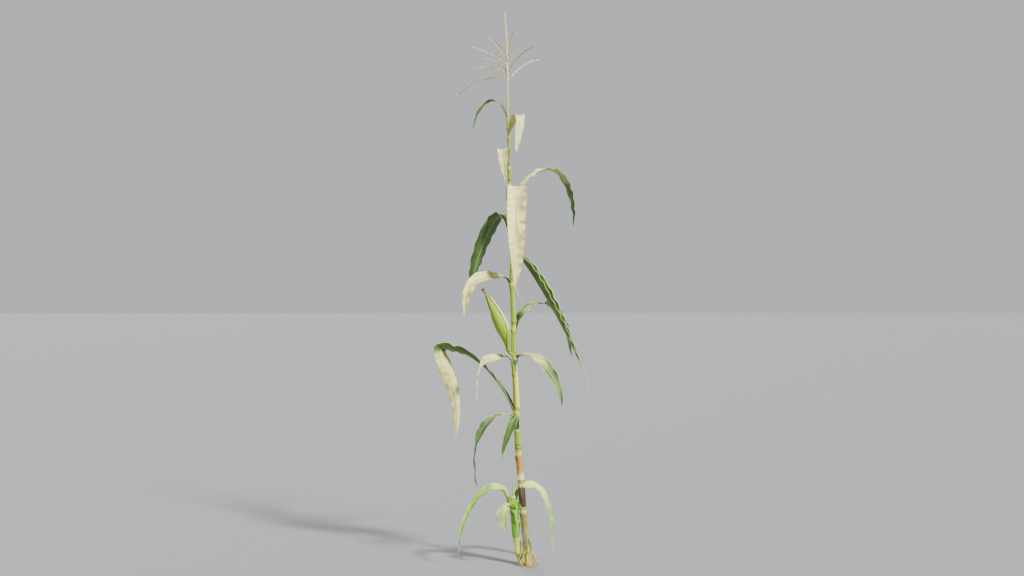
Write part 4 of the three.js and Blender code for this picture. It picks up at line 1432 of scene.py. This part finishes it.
finish_piece("ear_silk_threads", bm, [SILK], ["ear_silk"])

# %% The shank
EAR_JOINT = 872
SHANK_RADIUS, SHANK_RING = 6.6, 1.0
SHANK_AROUND, SHANK_ROWS = 20, 24


def shank_ring(share):
    """1 on each of the shank's four rings, and nearly nothing between them."""
    return abs(math.sin(share * math.pi * 4)) ** 6


shank_middle = stalk.middle(EAR_JOINT)
shank_out = level(EAR_FOOT - shank_middle)
shank_start = shank_middle + shank_out * (stalk_radius(EAR_JOINT) * (1 + JOINT_SWELLING) - 1)
ear_foot, foot_way = EAR_LINE.at(0)
shank_line = Line(pulled(shank_start, ear_foot - foot_way * 7, ear_foot + foot_way * 4))
bm = bmesh.new()
shank_rings = rings_along(shank_line, SHANK_ROWS, lambda share: SHANK_RADIUS + SHANK_RING * shank_ring(share))
lay_tube(
    bm, SHANK_AROUND, shank_rings,
    paint=lambda u, row: dict(pale=0.3, dry=0.2, tint=0.4 * shank_ring(row / SHANK_ROWS)),
)
finish_piece("ear_stalk", bm, [STALK], ["ear_shank"])

# %% [markdown]
# ## The tassel
#
# The tassel is a spike with side branches, each a thin thread with pairs of husked flowers along it.
# Hundreds of flowers would be slow and heavy if each were fine, so each is a small sphere of a few
# faces, drawn out to a grain's shape and laid along its branch. The branches take three straw colours
# in turn, and the spike has the first.

# %% The straw finishes
STRAW_TONES = {"pale": (0xd2bc85, 0xe6d6a6), "golden": (0xc2a25c, 0xd8be80), "brown": (0xa27f48, 0xbf9c62)}
STRAW = [clouded_finish(f"Straw, {tone}", *pair, 240.0, 2.0, 0.72) for tone, pair in STRAW_TONES.items()]
print("Straw finishes:", [material.name for material in STRAW])

# %% The tassel
BRANCHES = 13
BRANCH_LENGTH = 250
BRANCH_TILTS = (68, 30)
BRANCH_PULL = Vector((-0.34, 0, 0))
BRANCH_AROUND, BRANCH_ROWS, BRANCH_RADII = 6, 24, (1.3, 0.6)
SPIKE_AROUND, SPIKE_ROWS, SPIKE_RADII = 10, 40, (3.0, 0.9)
SPIKE_LEAN = 14
SPIKE_FLOWERS = dict(start=95, files=4, spread=2.0)
BRANCH_FLOWERS = dict(start=22, files=2, spread=0.9)
FLOWER_LENGTH = 8.6
FLOWER_WIDTH = 2.9
FLOWER_AROUND, FLOWER_ROWS = 6, 4
FLOWER_SIDE = Vector((0.3, 1, 0.2))
PAIR_STEP = 5.6
PAIR_TURN = 0.9
TASSEL_SEED = 11


def lay_flower(bm, foot, way, out, random, material):
    """One husked flower, a drawn-out sphere that leans away from its branch."""
    lean = (way + out * pick((0.22, 0.5), random)).normalized()
    length = FLOWER_LENGTH * pick((0.82, 1.12), random)
    turned = lean.to_track_quat("Z", "Y").to_matrix().to_4x4()
    size = Matrix.Diagonal((FLOWER_WIDTH / 2, FLOWER_WIDTH / 2.6, length / 2, 1))
    spot = Matrix.Translation(foot + lean * length * 0.45)
    made = bmesh.ops.create_uvsphere(
        bm, u_segments=FLOWER_AROUND, v_segments=FLOWER_ROWS, radius=1, matrix=spot @ turned @ size,
    )
    for face in {face for vert in made["verts"] for face in vert.link_faces}:
        face.material_index = material
        face.smooth = True


def dress_branch(bm, line, random, material, start, files, spread):
    """Flowers along a branch from start on, in as many rows round it as files says."""
    count = int((line.length - start) / PAIR_STEP)
    for pair in range(count):
        foot, way = line.at(start + pair * PAIR_STEP)
        side = square_to(way, FLOWER_SIDE)
        for row in range(files):
            angle = 2 * math.pi * row / files + pair * PAIR_TURN + pick((-0.3, 0.3), random)
            out = round_about(side, way.cross(side), angle)
            lay_flower(bm, foot + out * spread, way, out, random, material)


random = numbers_from(TASSEL_SEED)
tassel_foot = stalk.middle(STALK_TOP)
branches = []
for index in range(BRANCHES):
    share = index / (BRANCHES - 1)
    tilt = math.radians(mix(*BRANCH_TILTS, share) * pick((0.8, 1.15), random))
    out = heading(index * GOLDEN_ANGLE + pick((0, 30), random))
    way = (round_about(UP, out, tilt) + BRANCH_PULL).normalized()
    length = BRANCH_LENGTH * mix(1, 0.6, share) * pick((0.8, 1.1), random)
    start = tassel_foot + UP * mix(10, 100, share)
    droop = length * mix(0.55, 0.15, share) * pick((0.6, 1.3), random)
    branches.append(Line(pulled(start, start + way * length * 0.55, start + way * length - UP * droop)))

head = Vector((tassel_foot.x - SPIKE_LEAN, tassel_foot.y, PLANT_HEIGHT))
bend = Vector((tassel_foot.x, tassel_foot.y, mix(STALK_TOP, PLANT_HEIGHT, 0.6)))
spike = Line(pulled(tassel_foot, bend, head - UP * 6))
plume = bmesh.new()
lay_tube(plume, SPIKE_AROUND, rings_along(spike, SPIKE_ROWS, lambda share: mix(*SPIKE_RADII, share)))
dress_branch(plume, spike, random, 0, **SPIKE_FLOWERS)
bm = bmesh.new()
gather(bm, plume)
for index, branch in enumerate(branches):
    tone = index % len(STRAW)
    plume = bmesh.new()
    rings = rings_along(branch, BRANCH_ROWS, lambda share: mix(*BRANCH_RADII, share))
    lay_tube(plume, BRANCH_AROUND, rings, material=tone)
    dress_branch(plume, branch, random, tone, **BRANCH_FLOWERS)
    gather(bm, plume)
finish_piece("tassel_plume", bm, STRAW, ["tassel"])

# %% [markdown]
# ## Floor, light and camera
#
# The plant stands on a plain grey floor. Sun lamps light floor and plant evenly out to the horizon,
# where area lights would fade. The key is wider than the real sun, for softer shadows. A very wide
# weak one fills from the left, and one from behind draws the leaf edges. A pale surround keeps the
# shadows open. The camera looks level at the plant from its front, far enough back for its upright
# lines to stay upright.

# %% The floor
FLOOR_DROP = 0.6
FLOOR_HALF_METRES = 60
FLOOR_GREY = (0.226, 0.228, 0.232, 1)
bm = bmesh.new()
bmesh.ops.create_grid(bm, x_segments=1, y_segments=1, size=FLOOR_HALF_METRES)
bmesh.ops.translate(bm, vec=(0, 0, -FLOOR_DROP * MILLIMETRE), verts=bm.verts[:])
floor = set_out("Floor", mesh_from("Floor", bm))
floor.data.materials.append(new_finish("Floor paint", Base_Color=FLOOR_GREY, Roughness=0.9)[0])
print("The floor lies", FLOOR_DROP, "mm under the plant's foot")

# %% The lights
LIGHTS = [
    dict(name="Key", place=(3.2, -3.8, 3.6), spread=7, strength=8.8),
    dict(name="Fill", place=(-4.0, -3.2, 2.4), spread=40, strength=0.3),
    dict(name="Rim", place=(-1.6, 4.2, 3.0), spread=20, strength=1.4),
]
for light in LIGHTS:
    lamp = bpy.data.lights.new(light["name"], "SUN")
    lamp.energy = light["strength"]
    lamp.angle = math.radians(light["spread"])
    lit = set_out(light["name"], lamp)
    lit.location = light["place"]
    lit.rotation_euler = (-lit.location).to_track_quat("-Z", "Y").to_euler()

SURROUND_COLOUR = (0.94, 0.96, 1.0, 1)
SURROUND_STRENGTH = 0.6
surround = bpy.data.worlds.new("Surround")
surround.use_nodes = True
backdrop = surround.node_tree.nodes["Background"].inputs
backdrop["Color"].default_value = SURROUND_COLOUR
backdrop["Strength"].default_value = SURROUND_STRENGTH
bpy.context.scene.world = surround
print("Lights:", [light["name"] for light in LIGHTS], "and", surround.name)

# %% The camera
IMAGE_WIDTH = 1024
IMAGE_HEIGHT = 576
SENSOR_WIDTH = 36
CAMERA_DISTANCE = 6.0
FRAME_MARGIN = 1.05
low, high = cad_box
tall = (high.z - low.z) * FRAME_MARGIN
camera_data = bpy.data.cameras.new("Camera")
camera_data.sensor_width = SENSOR_WIDTH
camera_data.lens = SENSOR_WIDTH * IMAGE_HEIGHT / IMAGE_WIDTH * CAMERA_DISTANCE / tall
camera = set_out("Camera", camera_data)
camera.location = ((low.x + high.x) / 2, (low.y + high.y) / 2 - CAMERA_DISTANCE, (low.z + high.z) / 2)
camera.rotation_euler = (math.radians(90), 0, 0)
bpy.context.scene.camera = camera
print("Lens", round(camera_data.lens, 1), "mm")
